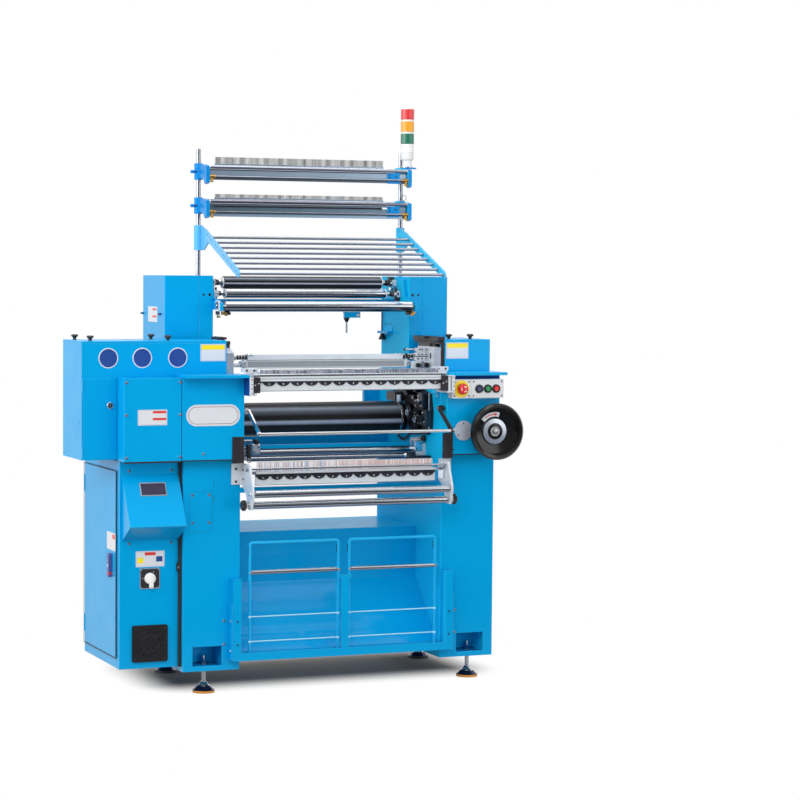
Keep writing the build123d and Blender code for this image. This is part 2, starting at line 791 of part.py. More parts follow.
# Spur gear with straight-sided teeth that leave backlash on the pitch circle.
def spur_gear(teeth, place, bore, phase):
    pitch_radius = gear_module * teeth / 2
    tip = pitch_radius + gear_module
    root = pitch_radius - 1.25 * gear_module
    step = 360 / teeth
    points = []
    for tooth in range(teeth):
        for radius, share in ((root, -0.345), (tip, -0.12), (tip, 0.12), (root, 0.345)):
            angle = math.radians(phase + step * (tooth + share))
            points.append((place[0] + radius * math.cos(angle), place[1] + radius * math.sin(angle)))
    gear = side_profile(points, gear_span)
    gear += bar("x", (gear_span[0] - 3, gear_span[1]), place, bore + 8)
    return gear - bar("x", (gear_span[0] - 4, gear_span[1] + 1), place, bore + running)


middle_phase = first_mesh_angle + 180 + 180 / middle_teeth
mesh_share = ((second_mesh_angle - middle_phase) * middle_teeth / 360) % 1
input_phase = second_mesh_angle + 180 + (mesh_share + 0.5) * 360 / input_teeth


# One wall of fine teeth, the form of every reed and needle comb here.
def comb(x, y, base, top):
    pitch = (x[1] - x[0]) / (comb_gaps + 0.55)
    root = base + (top - base) * 0.3
    points = [(x[0], base), (x[1], base)]
    for gap in range(comb_gaps, -1, -1):
        left = x[0] + pitch * gap
        points += [(left + 0.55 * pitch, root), (left + 0.55 * pitch, top), (left, top), (left, root)]
    points.remove(points[2])
    points.pop()
    return front_profile(points, y)


lobe_pitch = 2 * needle_half / (lobes - 0.3)
lobe_places = [lobe_pitch * (lobe - (lobes - 1) / 2) for lobe in range(lobes)]


# Steel plate with a raised zigzag step along its front.
def zigzag_plate(half, front, bottom, top):
    plate = block((-half, half), (front, front + plate_thickness), (bottom, top))
    height = top - bottom
    crest = bottom + 0.62 * height
    dip = bottom + 0.36 * height
    points = [(-half, bottom), (half, bottom), (half, crest)]
    for lobe_x in reversed(lobe_places):
        points += [(lobe_x + lobe_pitch * 0.46, crest), (lobe_x + 4, dip), (lobe_x - 4, dip),
                   (lobe_x - lobe_pitch * 0.46, crest)]
    points.append((-half, crest))
    return plate + front_profile(points, (front - 2, front))


# Black clamp plate with a row of rounded lobes, one over each dip of the zigzag.
def lobed_plate(half, front, bottom, top):
    height = top - bottom
    strip_height = 0.34 * height
    face = Pos(0, top - strip_height / 2) * Rectangle(2 * half, strip_height)
    for lobe_x in lobe_places:
        face += Pos(lobe_x, top - strip_height) * Ellipse(lobe_pitch * 0.42, 0.26 * height)
    face &= Pos(0, top - height / 2) * Rectangle(2 * half, height)
    return extrude(Plane.XZ.offset(-front + 2) * face, 4, dir=(0, -1, 0))


def zigzag_plates():
    upper = zigzag_plate(plate_half, unit_front, upper_unit_bottom, upper_unit_top)
    lower = zigzag_plate(lower_plate_half, lower_unit_front - plate_thickness, lower_unit_bottom, lower_unit_top)
    return [upper, lower]


bed_depth = 55
upper_bed = (unit_front + plate_thickness, unit_front + plate_thickness + bed_depth)
lower_comb_y = (lower_unit_front + 4, lower_unit_front + 9)


def clamp_plates():
    upper = lobed_plate(plate_half, unit_front, upper_unit_bottom, upper_unit_top)
    lower = lobed_plate(lower_plate_half, lower_unit_front - plate_thickness, lower_unit_bottom, lower_unit_top)
    return [upper, lower]


# Beds behind the plates; the lower one carries its fixed comb.
def needle_beds():
    upper = block((-plate_half, plate_half), upper_bed, (upper_unit_top - 13, upper_unit_top))
    lower_span = (-web_in, web_in)
    lower = block(lower_span, (lower_unit_front, -8), (lower_unit_top - 12, lower_unit_top))
    lower += comb((-needle_half, needle_half), lower_comb_y, lower_unit_top - 1, lower_unit_top + 41)
    return [upper, lower]


def needle_bar():
    y = (unit_front + 9, unit_front + 15)
    base = upper_unit_top + lift
    bar_block = block((-needle_half - 8, needle_half + 8), (y[0] - 2, y[1] + 10), (base, base + 6))
    return bar_block + comb((-needle_half, needle_half), y, base + 5, base + 33)


holder_in = plate_half + 11


# Black end blocks of the upper unit, the black plates on the covers and the pads over the drive heads.
cover_plates = ((-493, -445), (422, 466))
cover_plate_z = (cover_bottom - 16, cover_bottom + 89)
pads = ((-476, -448), (426, 490))
pad_y = (150, 262)


def end_blocks():
    block_y = (unit_front - 12, upper_bed[1])
    end = block((plate_half, holder_in), block_y, (upper_unit_bottom - 6, upper_unit_top + 3))
    blocks = both_sides(end)
    for span in cover_plates:
        blocks.append(block(span, (cover_front - 6, cover_front), cover_plate_z))
    lid_top = gear_box_top + lid_thickness
    heads = ((-left_box_in + 2, -half_gap - head_inset), (half_gap + head_inset, right_box_in - 2))
    for span, head in zip(pads, heads):
        pad = fillet(block(span, pad_y, (lid_top + lift, lid_top + 10)).edges().filter_by(Axis.Y), 3)
        foot = block((max(span[0], head[0]), min(span[1], head[1])), (pad_y[0] + 4, pad_y[1] - 4),
                     (gear_box_top - 10, lid_top + 2))
        blocks.append(pad + foot)
    return blocks


# Bright holders: those of the upper unit, and the webs that carry the lower unit and fabric rollers.
def roller_holders():
    upper_z = (upper_unit_bottom - 16, upper_unit_top - 1)
    upper = block((holder_in, holder_in + 11), (unit_front - 12, -5), upper_z)
    upper += block((holder_in + 10, half_gap + cover_inset), (cover_front + 5, -5), upper_z)
    lower = side_profile(holder_profile, (web_in, web_out))
    lower += block((web_in, half_gap + holder_plate_width), (-holder_plate_depth, 0),
                   (holder_profile[-1][1], holder_profile[0][1]))
    for place in (upper_fabric_place, lower_fabric_place):
        lower -= bar("x", (web_in - 1, web_out + 1), place, journal_radius + running)
    press_block = (half_gap - press_block_length, half_gap)
    rod_block = block(press_block, press_block_y, press_block_z)
    rod_block += bar("x", press_block, press_boss_place, press_boss_radius)
    return both_sides(upper) + both_sides(lower) + both_sides(rod_block)


def guide_rods():
    comb_rod = bar("x", (-web_in, web_in), comb_rod_place, comb_rod_radius)
    press_end = half_gap - press_block_length
    press_rod = bar("x", (-press_end, press_end), press_rod_place, press_rod_radius)
    upper_rod = bar("x", (-plate_half, plate_half), (upper_bed[1] - 8, upper_unit_top + 8), comb_rod_radius)
    rods = [comb_rod, press_rod, upper_rod]
    for side in (-1, 1):
        ends = sorted((side * (tube_inner_x + guard_tube_radius), side * (tube_outer_x - guard_tube_radius)))
        rods.append(bar("x", ends, (tube_y, guard_tube_rod_z), guard_tube_rod_radius))
    return rods


# Weft channel between the drive heads, and the sliding weft bar above it.
def weft_channel():
    y = (weft_place - channel_depth / 2, weft_place + channel_depth / 2)
    channel = block((-channel_half, channel_half), y, (channel_bottom, channel_top))
    channel -= block((-channel_half - 1, channel_half + 1), (y[0] + 3, y[1] - 3), (channel_bottom + 3, channel_top + 1))
    end = half_gap + head_inset
    for side in (-1, 1):
        channel += block(sorted((side * (channel_half - 12), side * (channel_half + 6))), y,
                         (channel_bottom, channel_top))
        channel += bar("x", sorted((side * channel_half, side * end)), (weft_place, channel_bottom + 14), 8)
    return channel


weft_rod_z = channel_top + lift + weft_height / 2
weft_travel = 5


def weft_bar():
    z = (channel_top + lift, channel_top + lift + weft_height)
    moving = block((-weft_half, weft_half), (weft_place - 12, weft_place + 12), z)
    end = half_gap + head_inset + 7
    return moving + bar("x", (-end, end), (weft_place, weft_rod_z), weft_rod)


def drive_heads():
    inner = half_gap + head_inset
    heads = []
    for side, width in ((-1, left_head_width), (1, right_head_width)):
        x = sorted((side * inner, side * (inner + width)))
        front, back, top = gear_box_front + 4, gear_box_back - 16, gear_box_top - 10
        profile = [(front, frame_top), (back, frame_top), (back, top - 40), (back - 30, top), (front + 74, top),
                   (front, top - 28)]
        head = side_profile(profile, x)
        bore = sorted((side * (inner - 1), side * (inner + 14)))
        head -= bar("x", bore, (weft_place, weft_rod_z), weft_rod + running)
        heads.append(head)
    return heads


# Rod and two flat arms that swing in front of the take-down roller.
def guard_bar():
    bar_body = bar("x", (-guard_half, guard_half), guard_rod_place, guard_rod_radius)
    reach = math.dist(guard_pivot, guard_rod_place)
    lean = math.degrees(math.atan2(guard_pivot[1] - guard_rod_place[1], guard_pivot[0] - guard_rod_place[0]))
    arm = Plane.YZ.offset(guard_half) * (Pos(*guard_rod_place) * Rot(0, 0, lean) *
                                         (Pos(reach / 2, 0) * SlotCenterToCenter(reach, 18)))
    arm = extrude(arm, 7, dir=(1, 0, 0))
    pin = bar("x", (guard_half + 7, half_gap + cover_inset + sheet), guard_pivot, journal_radius)
    for side in both_sides(arm + pin):
        bar_body += side
    return bar_body


def plain_roller(half, end, radius, journal, place):
    outline = [(-end, journal), (-half, journal), (-half, radius), (half, radius), (half, journal), (end, journal)]
    return turned("x", outline, place)


# Boxes of the operating buttons; each button's stem slides in its own bore.
button_z = 1221
button_depth = 18
stem_radius = 7
estop_inset = 47
estop_x = half_gap + estop_inset
button_insets = (125, 164, 202)
button_places = [half_gap + inset for inset in button_insets]
button_box_y = (cover_front - control_box_depth, cover_front)
press_travel = 4


def control_boxes():
    stop_box_x = (half_gap + stop_box_inset, half_gap + stop_box_inset + stop_box_width)
    stop_box = block(stop_box_x, button_box_y, control_box_z)
    row_box = block((stop_box_x[1] + 0.5, outer_face - row_box_inset), button_box_y, control_box_z)
    boxes = [fillet(box.edges().filter_by(Axis.Y), 5) for box in (stop_box, row_box)]
    bore = (button_box_y[0] - 1, button_box_y[0] + button_depth + press_travel + 2)
    boxes[0] -= bar("y", bore, (estop_x, button_z), stem_radius + running)
    for place in button_places:
        boxes[1] -= bar("y", bore, (place, button_z), stem_radius + running)
    return boxes


def emergency_button():
    face = button_box_y[0] - press_travel - 1
    outline = [(face - 22, 13), (face - 18, 18), (face - 10, 20), (face, 14), (face, stem_radius),
               (button_box_y[0] + button_depth, stem_radius)]
    return turned("y", outline, (estop_x, button_z))


def push_button(place):
    face = button_box_y[0] - press_travel - 1
    outline = [(face - 6, 10), (face - 4, 11), (face, 11), (face, stem_radius),
               (button_box_y[0] + button_depth, stem_radius)]
    return turned("y", outline, (place, button_z))


# Side plates of the feed rollers, with an arm that reaches forward to the front roller.
def feed_brackets():
    end = half_gap
    front_y, front_z = front_feed_place
    rear = rubber_feed_place[0] + feed_plate_rear
    chrome_z = chrome_feed_place[1]
    profile = [(front_y - feed_arm_front, front_z - 18), (front_y - feed_arm_front, front_z + 14),
               (post_front + 18, chrome_z - 12), (post_front + 34, feed_plate_top - 12), (rear, feed_plate_top),
               (rear, chrome_z - 20), (post_front + 20, chrome_z - 42), (post_front, front_z - 14)]
    plate = side_profile(profile, (end - feed_plate, end))
    for place in (rubber_feed_place, chrome_feed_place, front_feed_place):
        plate -= bar("x", (end - feed_plate - 1, end - 1), place, feed_journal + running)
    hook = block(*hook_plate)
    hook_top = hook_plate[2][0]
    hook += bar("z", (hook_bottom, hook_top), hook_place, hook_radius)
    hook += bar("z", (hook_top - 16, hook_top), hook_place, hook_collar)
    return both_sides(plate) + [hook]


creel_x = half_gap + creel_post_offset


def creel_posts():
    post = bar("z", (post_top, creel_post_top), (creel_x, creel_post_y), creel_post_radius)
    return both_sides(post)


arm_in = creel_x - 12
reed_end = creel_x - hub_radius
reed_bar_y = (creel_post_y + 9, creel_post_y + 19)


# Castings clamped on the creel posts; each reaches forward to hold one row of bars.
def creel_clamps():
    castings = []
    for top in clamp_tops:
        hub_z = (top - clamp_height, top)
        clamp = bar("z", hub_z, (creel_x, creel_post_y), hub_radius)
        profile = [(creel_post_y, top - 6), (creel_reach + 30, top - 6), (creel_reach - 12, top - 14),
                   (creel_reach - 12, top - 82), (creel_reach + 8, top - 88), (creel_reach + 26, top - 66),
                   (creel_post_y, top - 58)]
        clamp += side_profile(profile, (arm_in, arm_in + 16))
        clamp += block((reed_end, creel_x), (creel_post_y, reed_bar_y[1] + 2), (top - 22, top))
        clamp += bar("x", (creel_x + 12, creel_x + 34), (creel_post_y, top - 34), 7)
        clamp -= bar("z", (hub_z[0] - 1, top + 1), (creel_x, creel_post_y), creel_post_radius + running)
        castings += both_sides(clamp)
    tower_plate = block((arm_in, tower_place[0] + 30), (tower_place[1] - 30, creel_post_y - 12),
                        (clamp_tops[0] - 6, clamp_tops[0]))
    castings[1] += tower_plate
    return castings


tower_place = (467, 438)
tower_radii = (20, 28)
tower_foot = 30
tower_body = 98
lens_height = 43
lens_gap = 8


# Signal tower: a white base under three lenses with a ring above each.
def signal_tower():
    base = clamp_tops[0]
    foot_radius, body_radius = tower_radii
    outline = [(base, foot_radius), (base + tower_foot, foot_radius), (base + tower_foot + 4, body_radius),
               (base + tower_body, body_radius)]
    pieces = [turned("z", outline, tower_place)]
    low = base + tower_body
    for lens in range(3):
        lens_top = low + lens_height
        outline = [(low, 26), (low + 3, 29), (lens_top - 1, 29), (lens_top - 1, 26), (lens_top + lens_gap, 26)]
        pieces.append(turned("z", outline, tower_place))
        low = lens_top + lens_gap
    return pieces


def creel_bars():
    bars = []
    for top in clamp_tops:
        bars.append(bar("x", (-arm_in, arm_in), (creel_reach, top - 18), 7))
        bars.append(block((-arm_in, arm_in), (creel_reach + 2, creel_reach + 6), (top - 58, top - 26)))
        bars.append(bar("x", (-arm_in, arm_in), (creel_reach, top - 68), 6))
    return bars


# Yarn reeds stand on a bar between the clamps.
def yarn_reeds():
    reeds = []
    for top in clamp_tops:
        reed = block((-reed_end, reed_end), reed_bar_y, (top - 16, top - 4))
        middle = (reed_bar_y[0] + reed_bar_y[1]) / 2
        reed += comb((-needle_half, needle_half), (middle - 1.5, middle + 1.5), top - 5, top + 30)
        reeds.append(reed)
    return reeds


rack_step = [(rack_last[axis] - rack_first[axis]) / (rack_rods - 1) for axis in (0, 1)]
rack_places = [(rack_first[0] + rack_step[0] * rod, rack_first[1] + rack_step[1] * rod) for rod in range(rack_rods)]
rack_plate = 6
rack_arm_in = half_gap + 6


# Sloping arms of the yarn rack, perforated between the rods, each with a bracket on its post.
def rack_arms():
    tail = creel_post_y - 10
    foot = rack_first[1] - 52
    profile = [(tail, rack_first[1] + 52), (rack_first[0] + 40, rack_first[1] + 32),
               (rack_last[0] - 6, rack_last[1] + 14), (rack_last[0] - 16, rack_last[1] + 2),
               (rack_last[0] - 10, rack_last[1] - 14), (rack_last[0] + 6, rack_last[1] - 14),
               (rack_first[0] + 12, rack_first[1] - 20), (rack_first[0] + 70, foot), (tail, foot)]
    x = (rack_arm_in, rack_arm_in + rack_plate)
    arm = side_profile(profile, x)
    for rod, place in enumerate(rack_places):
        arm -= bar("x", (x[0] - 1, x[1] + 1), place, rack_rod_radius + running)
        between = (place[0] - rack_step[0] / 2, place[1] - rack_step[1] / 2)
        arm -= bar("x", (x[0] - 1, x[1] + 1), between, 5)
    hub = bar("z", (foot, rack_first[1] + 52), (creel_x, creel_post_y), hub_radius)
    arm += hub
    arm -= bar("z", (foot - 1, rack_first[1] + 53), (creel_x, creel_post_y), creel_post_radius + running)
    return both_sides(arm)


def rack_rod_set():
    end = rack_arm_in + rack_plate - 0.5
    return [bar("x", (-end, end), place, rack_rod_radius) for place in rack_places]


web_end = web_out - 1
feed_end = half_gap - 2

nodes = {
    "left_side_frame": left_side_frame(),
    "right_side_frame": right_side_frame(),
    "cross_beams": cross_beams(),
    "rear_table": rear_table(),
    "front_channel_frame": front_channel_frame(),
    "tube_frames": tube_frames(),
    "column_covers": column_covers() + upper_column_covers(),
    "upper_columns": upper_columns(),
    "left_gear_box": left_gear_box(),
    "gear_box_front_panel": gear_box_front_panel(),
    "right_gear_box": right_gear_box(),
    "gear_box_lids": gear_box_lids(),
    "clamp_knobs": clamp_knobs(),
    "tool_shelves": tool_shelves(),
    "electrical_cabinet": electrical_cabinet(),
    "control_desk": control_desk(),
    "fan_grille": fan_grille(),
    "leveling_feet": leveling_feet(),
    "creel_clamps": creel_clamps(),
    "creel_bars": creel_posts() + creel_bars() + rack_rod_set(),
    "yarn_reeds": yarn_reeds(),
    "rack_arms": rack_arms(),
    "signal_tower": signal_tower(),
    "feed_brackets": feed_brackets(),
    "drive_heads": drive_heads(),
    "weft_channel": weft_channel(),
    "zigzag_plates": zigzag_plates(),
    "clamp_plates": clamp_plates(),
    "end_blocks": end_blocks(),
    "roller_holders": roller_holders(),
    "needle_beds": needle_beds(),
    "guide_rods": guide_rods(),
    "control_boxes": control_boxes(),
    "main_motor": main_motor(),
    "drive_belt": drive_belt(),
    "hand_drive_gearbox": hand_drive_gearbox(),
    "handwheel": handwheel(),
    "main_shaft": main_shaft(),
    "motor_pulley": motor_pulley(),
    "take_down_roller": take_down_roller(),
    "take_down_gear": spur_gear(roller_teeth, roller_place, roller_journal, first_mesh_angle),
    "middle_gear": spur_gear(middle_teeth, middle_place, gear_pin_radius, middle_phase),
    "input_gear": spur_gear(input_teeth, input_place, gear_pin_radius, input_phase),
    "rubber_feed_roller": plain_roller(rubber_feed_half, feed_end, rubber_feed_radius, feed_journal,
                                       rubber_feed_place),
    "chrome_feed_roller": plain_roller(chrome_feed_half, feed_end, chrome_feed_radius, feed_journal,
                                       chrome_feed_place),
    "front_feed_roller": plain_roller(front_feed_half, feed_end, front_feed_radius, feed_journal,
                                      front_feed_place),
    "upper_fabric_roller": plain_roller(fabric_roller_half, web_end, fabric_roller_radius, journal_radius,
                                        upper_fabric_place),
    "lower_fabric_roller": plain_roller(fabric_roller_half, web_end, fabric_roller_radius, journal_radius,
                                        lower_fabric_place),
    "weft_bar": weft_bar(),
    "needle_bar": needle_bar(),
    "guard_bar": guard_bar(),
    "emergency_button": emergency_button(),
    "jog_button": push_button(button_places[0]),
    "run_button": push_button(button_places[1]),
    "stop_button": push_button(button_places[2]),
    "main_switch_knob": main_switch_knob(),
    "cabinet_door": cabinet_door(),
    "cabinet_door_handle": cabinet_door_handle(),
    "gear_box_door": gear_box_door(),
    "fan_rotor": fan_rotor(),
}

# The row's origin is under the middle of the machine's whole outline, on the floor.
left_reach = -left_box_out
right_reach = handwheel_place[0] + handwheel_radius
front_reach = guard_rod_place[0] - guard_rod_radius
origin = ((left_reach + right_reach) / 2, (front_reach + frame_depth) / 2)

for name, pieces in nodes.items():
    solids = [solid for piece in (pieces if isinstance(pieces, list) else [pieces]) for solid in piece.solids()]
    placed = Pos(-origin[0], -origin[1], 0) * Compound(solids)
    export_step(placed, f"parts/{name}.step")
print(len(nodes), "nodes")
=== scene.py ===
import math
import random
import bpy
import bmesh
from mathutils import Matrix, Vector


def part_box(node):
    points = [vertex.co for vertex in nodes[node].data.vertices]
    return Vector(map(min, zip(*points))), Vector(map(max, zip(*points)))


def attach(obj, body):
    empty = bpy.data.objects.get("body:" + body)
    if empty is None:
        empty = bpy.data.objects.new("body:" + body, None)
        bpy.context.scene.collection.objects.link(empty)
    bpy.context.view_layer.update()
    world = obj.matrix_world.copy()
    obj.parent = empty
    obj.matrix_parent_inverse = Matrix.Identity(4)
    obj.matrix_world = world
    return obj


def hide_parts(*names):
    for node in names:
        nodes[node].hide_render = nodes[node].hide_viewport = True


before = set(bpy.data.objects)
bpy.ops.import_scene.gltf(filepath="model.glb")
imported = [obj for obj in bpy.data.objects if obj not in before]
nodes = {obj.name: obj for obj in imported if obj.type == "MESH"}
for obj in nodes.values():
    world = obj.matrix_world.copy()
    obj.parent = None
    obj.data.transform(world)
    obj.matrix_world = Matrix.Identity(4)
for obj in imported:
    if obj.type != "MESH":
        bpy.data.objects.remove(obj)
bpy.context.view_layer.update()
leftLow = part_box("left_side_frame")[0]
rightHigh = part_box("right_side_frame")[1]
middleX = (leftLow.x + rightHigh.x) / 2
frontY = leftLow.y
mm = 0.001
edgeRadius = 0.0008  # of the rounded edges in the metal and plain finishes
print("frame loaded:", len(nodes), "nodes")


# machine millimetres (from the middle, the front of the side frames and the floor) to metres in the row frame
def spot(x, y, z):
    return Vector((middleX + x * mm, frontY + y * mm, z * mm))


def rgb(red, green, blue):  # screen colour 0..255 to a linear colour with alpha
    return tuple([((c / 255 + 0.055) / 1.055) ** 2.4 if c > 10 else c / 255 / 12.92 for c in (red, green, blue)] + [1])


def grey(level):
    return rgb(level, level, level)


# camera of the photograph
view = {"place": (-3584.3, -8801.8, 1689.3), "azimuth": -20.96, "pitch": 3.09, "roll": 0.34, "lens": 105.58,
        "shift": 0.1325}
azimuth, pitch, roll = [math.radians(view[key]) for key in ("azimuth", "pitch", "roll")]
back = Vector((math.sin(azimuth) * math.cos(pitch), -math.cos(azimuth) * math.cos(pitch), math.sin(pitch)))
right = (-back).cross(Vector((0, 0, 1))).normalized()
up = right.cross(-back)
right, up = (right * math.cos(roll) + up * math.sin(roll), up * math.cos(roll) - right * math.sin(roll))
camera = bpy.data.objects.new("photo_camera", bpy.data.cameras.new("photo_camera"))
camera.matrix_world = Matrix.Translation(spot(*view["place"])) @ Matrix((right, up, back)).transposed().to_4x4()
camera.data.lens = view["lens"]
camera.data.sensor_width = 36
camera.data.shift_x = view["shift"]
camera.data.clip_end = 60
bpy.context.scene.collection.objects.link(camera)
bpy.context.scene.camera = camera
bpy.context.scene.view_settings.view_transform = "Standard"
print("camera placed")


class Wire:  # one output socket, so that shader maths is written as plain maths
    def __init__(self, finish, socket):
        self.finish, self.socket = finish, socket

    def __add__(self, other): return self.finish.maths("ADD", self, other)
    def __radd__(self, other): return self.finish.maths("ADD", other, self)
    def __sub__(self, other): return self.finish.maths("SUBTRACT", self, other)
    def __rsub__(self, other): return self.finish.maths("SUBTRACT", other, self)
    def __mul__(self, other): return self.finish.maths("MULTIPLY", self, other)
    def __rmul__(self, other): return self.finish.maths("MULTIPLY", other, self)
    def __truediv__(self, other): return self.finish.maths("DIVIDE", self, other)
    def __gt__(self, other): return self.finish.maths("GREATER_THAN", self, other)
    def __lt__(self, other): return self.finish.maths("LESS_THAN", self, other)
    def __abs__(self): return self.finish.maths("ABSOLUTE", self)


class Outlets:  # the outputs of a node, by name or number
    def __init__(self, finish, made):
        self.finish, self.made = finish, made

    def __getitem__(self, key):
        return Wire(self.finish, self.made.outputs[key])


class Finish:  # one material, or the background of a world, built node by node
    def __init__(self, name, tree=None):
        if tree is None:
            self.material = bpy.data.materials.new(name)
            self.material.use_nodes = True
            tree = self.material.node_tree
        self.tree, self.where = tree, None
        self.tree.nodes.clear()

    def node(self, kind, settings=None, inputs=None):
        made = self.tree.nodes.new(kind)
        for key, value in (settings or {}).items():
            if key == "stops":
                stops = made.color_ramp.elements
                while len(stops) < len(value):
                    stops.new(0.5)
                for stop, (place, colour) in zip(stops, value):
                    stop.position, stop.color = place, colour
            else:
                setattr(made, key, value)
        for key, value in (inputs or {}).items():
            if isinstance(value, Wire):
                self.tree.links.new(value.socket, made.inputs[key])
            else:
                made.inputs[key].default_value = value
        return Outlets(self, made)

    def maths(self, operation, *values):
        return self.node("ShaderNodeMath", {"operation": operation}, dict(enumerate(values)))[0]

    def mix(self, factor, first, second, blend="MIX"):
        settings = {"data_type": "RGBA", "blend_type": blend}
        return self.node("ShaderNodeMix", settings, {0: factor, 6: first, 7: second})[2]

    def coordinate(self):
        if self.where is None:
            self.where = self.node("ShaderNodeTexCoord")["Object"]
        return self.where

    def noise(self, scale, stretch=(1, 1, 1), detail=2.0):
        place = self.node("ShaderNodeMapping", {}, {"Vector": self.coordinate(), "Scale": stretch})[0]
        return self.node("ShaderNodeTexNoise", {}, {"Vector": place, "Scale": scale, "Detail": detail})[0]

    def split(self, vector):
        return self.node("ShaderNodeSeparateXYZ", {}, {0: vector})

    def zone(self, x=None, y=None, z=None):  # 1 inside the given spans in machine millimetres
        mask, wires = None, self.split(self.coordinate())
        for axis, (span, shift) in enumerate(((x, middleX), (y, frontY), (z, 0))):
            if span is not None:
                wire = wires[axis]
                inside = (wire > shift + span[0] * mm) * (wire < shift + span[1] * mm)
                mask = inside if mask is None else mask * inside
        return mask

    def rounded(self, radius):  # the surface's normal with rounded edges
        return self.node("ShaderNodeBevel", {"samples": 3}, {"Radius": radius})[0]

    def edge(self, rounded):  # 0 on flats, rising towards 1 at outside and inside edges
        flat = self.node("ShaderNodeNewGeometry")["Normal"]
        return 1 - self.node("ShaderNodeVectorMath", {"operation": "DOT_PRODUCT"}, {0: rounded, 1: flat})["Value"]

    def paintedBands(self, stops):  # painted reflection and highlight lines along a cylinder, by the height of the surface's normal
        level = self.split(self.node("ShaderNodeNewGeometry")["Normal"])[2]
        return self.node("ShaderNodeValToRGB", {"stops": stops}, {0: level * 0.5 + 0.5})[0]

    def smooth(self, value, low, high):  # 0 at low, 1 at high, soft at both ends
        return self.node("ShaderNodeMapRange", {"interpolation_type": "SMOOTHSTEP"},
                         {0: value, 1: low, 2: high, 3: 0.0, 4: 1.0})[0]

    def seen(self):  # rays of the camera, of gloss and through glass, and those of gloss alone
        rays = self.node("ShaderNodeLightPath")
        direct = rays["Is Camera Ray"] + rays["Is Glossy Ray"] + rays["Is Transmission Ray"]
        return self.maths("MINIMUM", direct, 1.0), rays["Is Glossy Ray"]

    def bump(self, height, strength, distance, normal=None):
        inputs = {"Height": height, "Strength": strength, "Distance": distance}
        if normal is not None:
            inputs["Normal"] = normal
        return self.node("ShaderNodeBump", {}, inputs)[0]

    def shader(self, **sockets):
        named = {key.replace("_", " "): value for key, value in sockets.items()}
        return self.node("ShaderNodeBsdfPrincipled", {}, named)[0]

    def show(self, shader):
        self.node("ShaderNodeOutputMaterial", {}, {"Surface": shader})
        return self.material

    def surface(self, **sockets):
        return self.show(self.shader(**sockets))


# painted, plated, moulded and rubber finishes
# front and deep vary at random; the edge colour stands for wear and painted highlight; the matt colour, by its share,
# paints light on faces in shade
paintLook = {"front": rgb(0, 164, 224), "deep": rgb(0, 150, 214), "worn": rgb(96, 208, 248),
             "armFront": rgb(112, 196, 240), "armDeep": rgb(58, 160, 222), "clampFront": rgb(0, 150, 226),
             "clampDeep": rgb(0, 104, 190), "specular": 0.5, "tint": (0.02, 0.5, 0.95, 1), "coat": (0.22, 0.1),
             "edge": 0.0026, "matt": rgb(24, 206, 255), "mattShare": 0.8}
# in these spans, by the share given, faces whose normal passes the side or flat limit turn to a lighter cyan copy of
# the paint without coat or sheen: painted light on the shaded inner faces and on the table top
litCopyLook = {"low": ({"x": (420, 2000), "z": (0, 1277)}, 1.0), "high": ({"x": (420, 2000), "z": (1277, 2400)}, 0.85),
            "table": ({"x": (-440, 440), "z": (600, 800)}, 0.8), "side": -0.5, "flat": 0.9}


def paintFinish(name, light, deep, worn, zones=(), peel=0.10, gloss=0.0):  # each zone is (span, colour, metal)
    finish = Finish(name)
    rounded = finish.rounded(paintLook["edge"])
    drift = finish.noise(2.3, detail=3.0)
    speck = finish.noise(520.0, detail=1.0)
    body = finish.mix(drift * 0.9 - 0.1, light, deep)
    # lighter along the edges: some wear, and painted highlight where the edges catch the light
    edgeWearAndHighlight = finish.maths("MINIMUM", finish.edge(rounded) * 3.0 * (finish.noise(38.0) + 0.4), 0.8)
    colour = finish.mix(edgeWearAndHighlight, body, worn)
    rough = 0.3 + 0.14 * finish.noise(9.0)
    coat = paintLook["coat"][0] + gloss - paintLook["coat"][1] * drift
    metal = 0.0
    for span, zoneColour, zoneMetal in zones:
        mask = finish.zone(**span)
        colour = finish.mix(mask, colour, zoneColour)
        rough = rough * (1 - mask) + 0.3 * mask
        coat = coat * (1 - mask)
        metal = metal + zoneMetal * mask
    normal = finish.bump(speck, peel, 0.0004, rounded)
    glossy = finish.shader(Base_Color=colour, Roughness=rough, Metallic=metal, Coat_Weight=coat, Coat_Roughness=0.07,
                           Specular_IOR_Level=paintLook["specular"], Specular_Tint=paintLook["tint"], Normal=normal)
    # a lighter cyan copy of the paint with little reflection: painted light for faces in shade
    dull = finish.shader(Base_Color=finish.mix(paintLook["mattShare"], colour, paintLook["matt"]), Roughness=rough,
                         Metallic=metal, Specular_IOR_Level=0.03, Normal=normal)
    facing = finish.split(finish.node("ShaderNodeTexCoord")["Normal"])
    low, high, table = [finish.zone(**litCopyLook[key][0]) * litCopyLook[key][1] for key in ("low", "high", "table")]
    inner = (low + high) * (facing[0] < litCopyLook["side"])  # right-hand inner faces, the upper post a little less, take the painted-light copy
    inner = inner + table * (facing[2] > litCopyLook["flat"])
    return finish.show(finish.node("ShaderNodeMixShader", {}, {0: inner, 1: glossy, 2: dull})[0])


# grey, white and navy lines by the height of the normal: painted reflection of the sky, the room and the floor on
# chrome
paintedReflectionBands = [(0.0, grey(120)), (0.10, grey(214)), (0.20, rgb(46, 58, 96)), (0.30, grey(190)),
            (0.40, rgb(40, 50, 84)), (0.48, grey(176)), (0.56, grey(244)), (0.66, grey(150)), (0.76, grey(238)),
            (1.0, grey(255))]


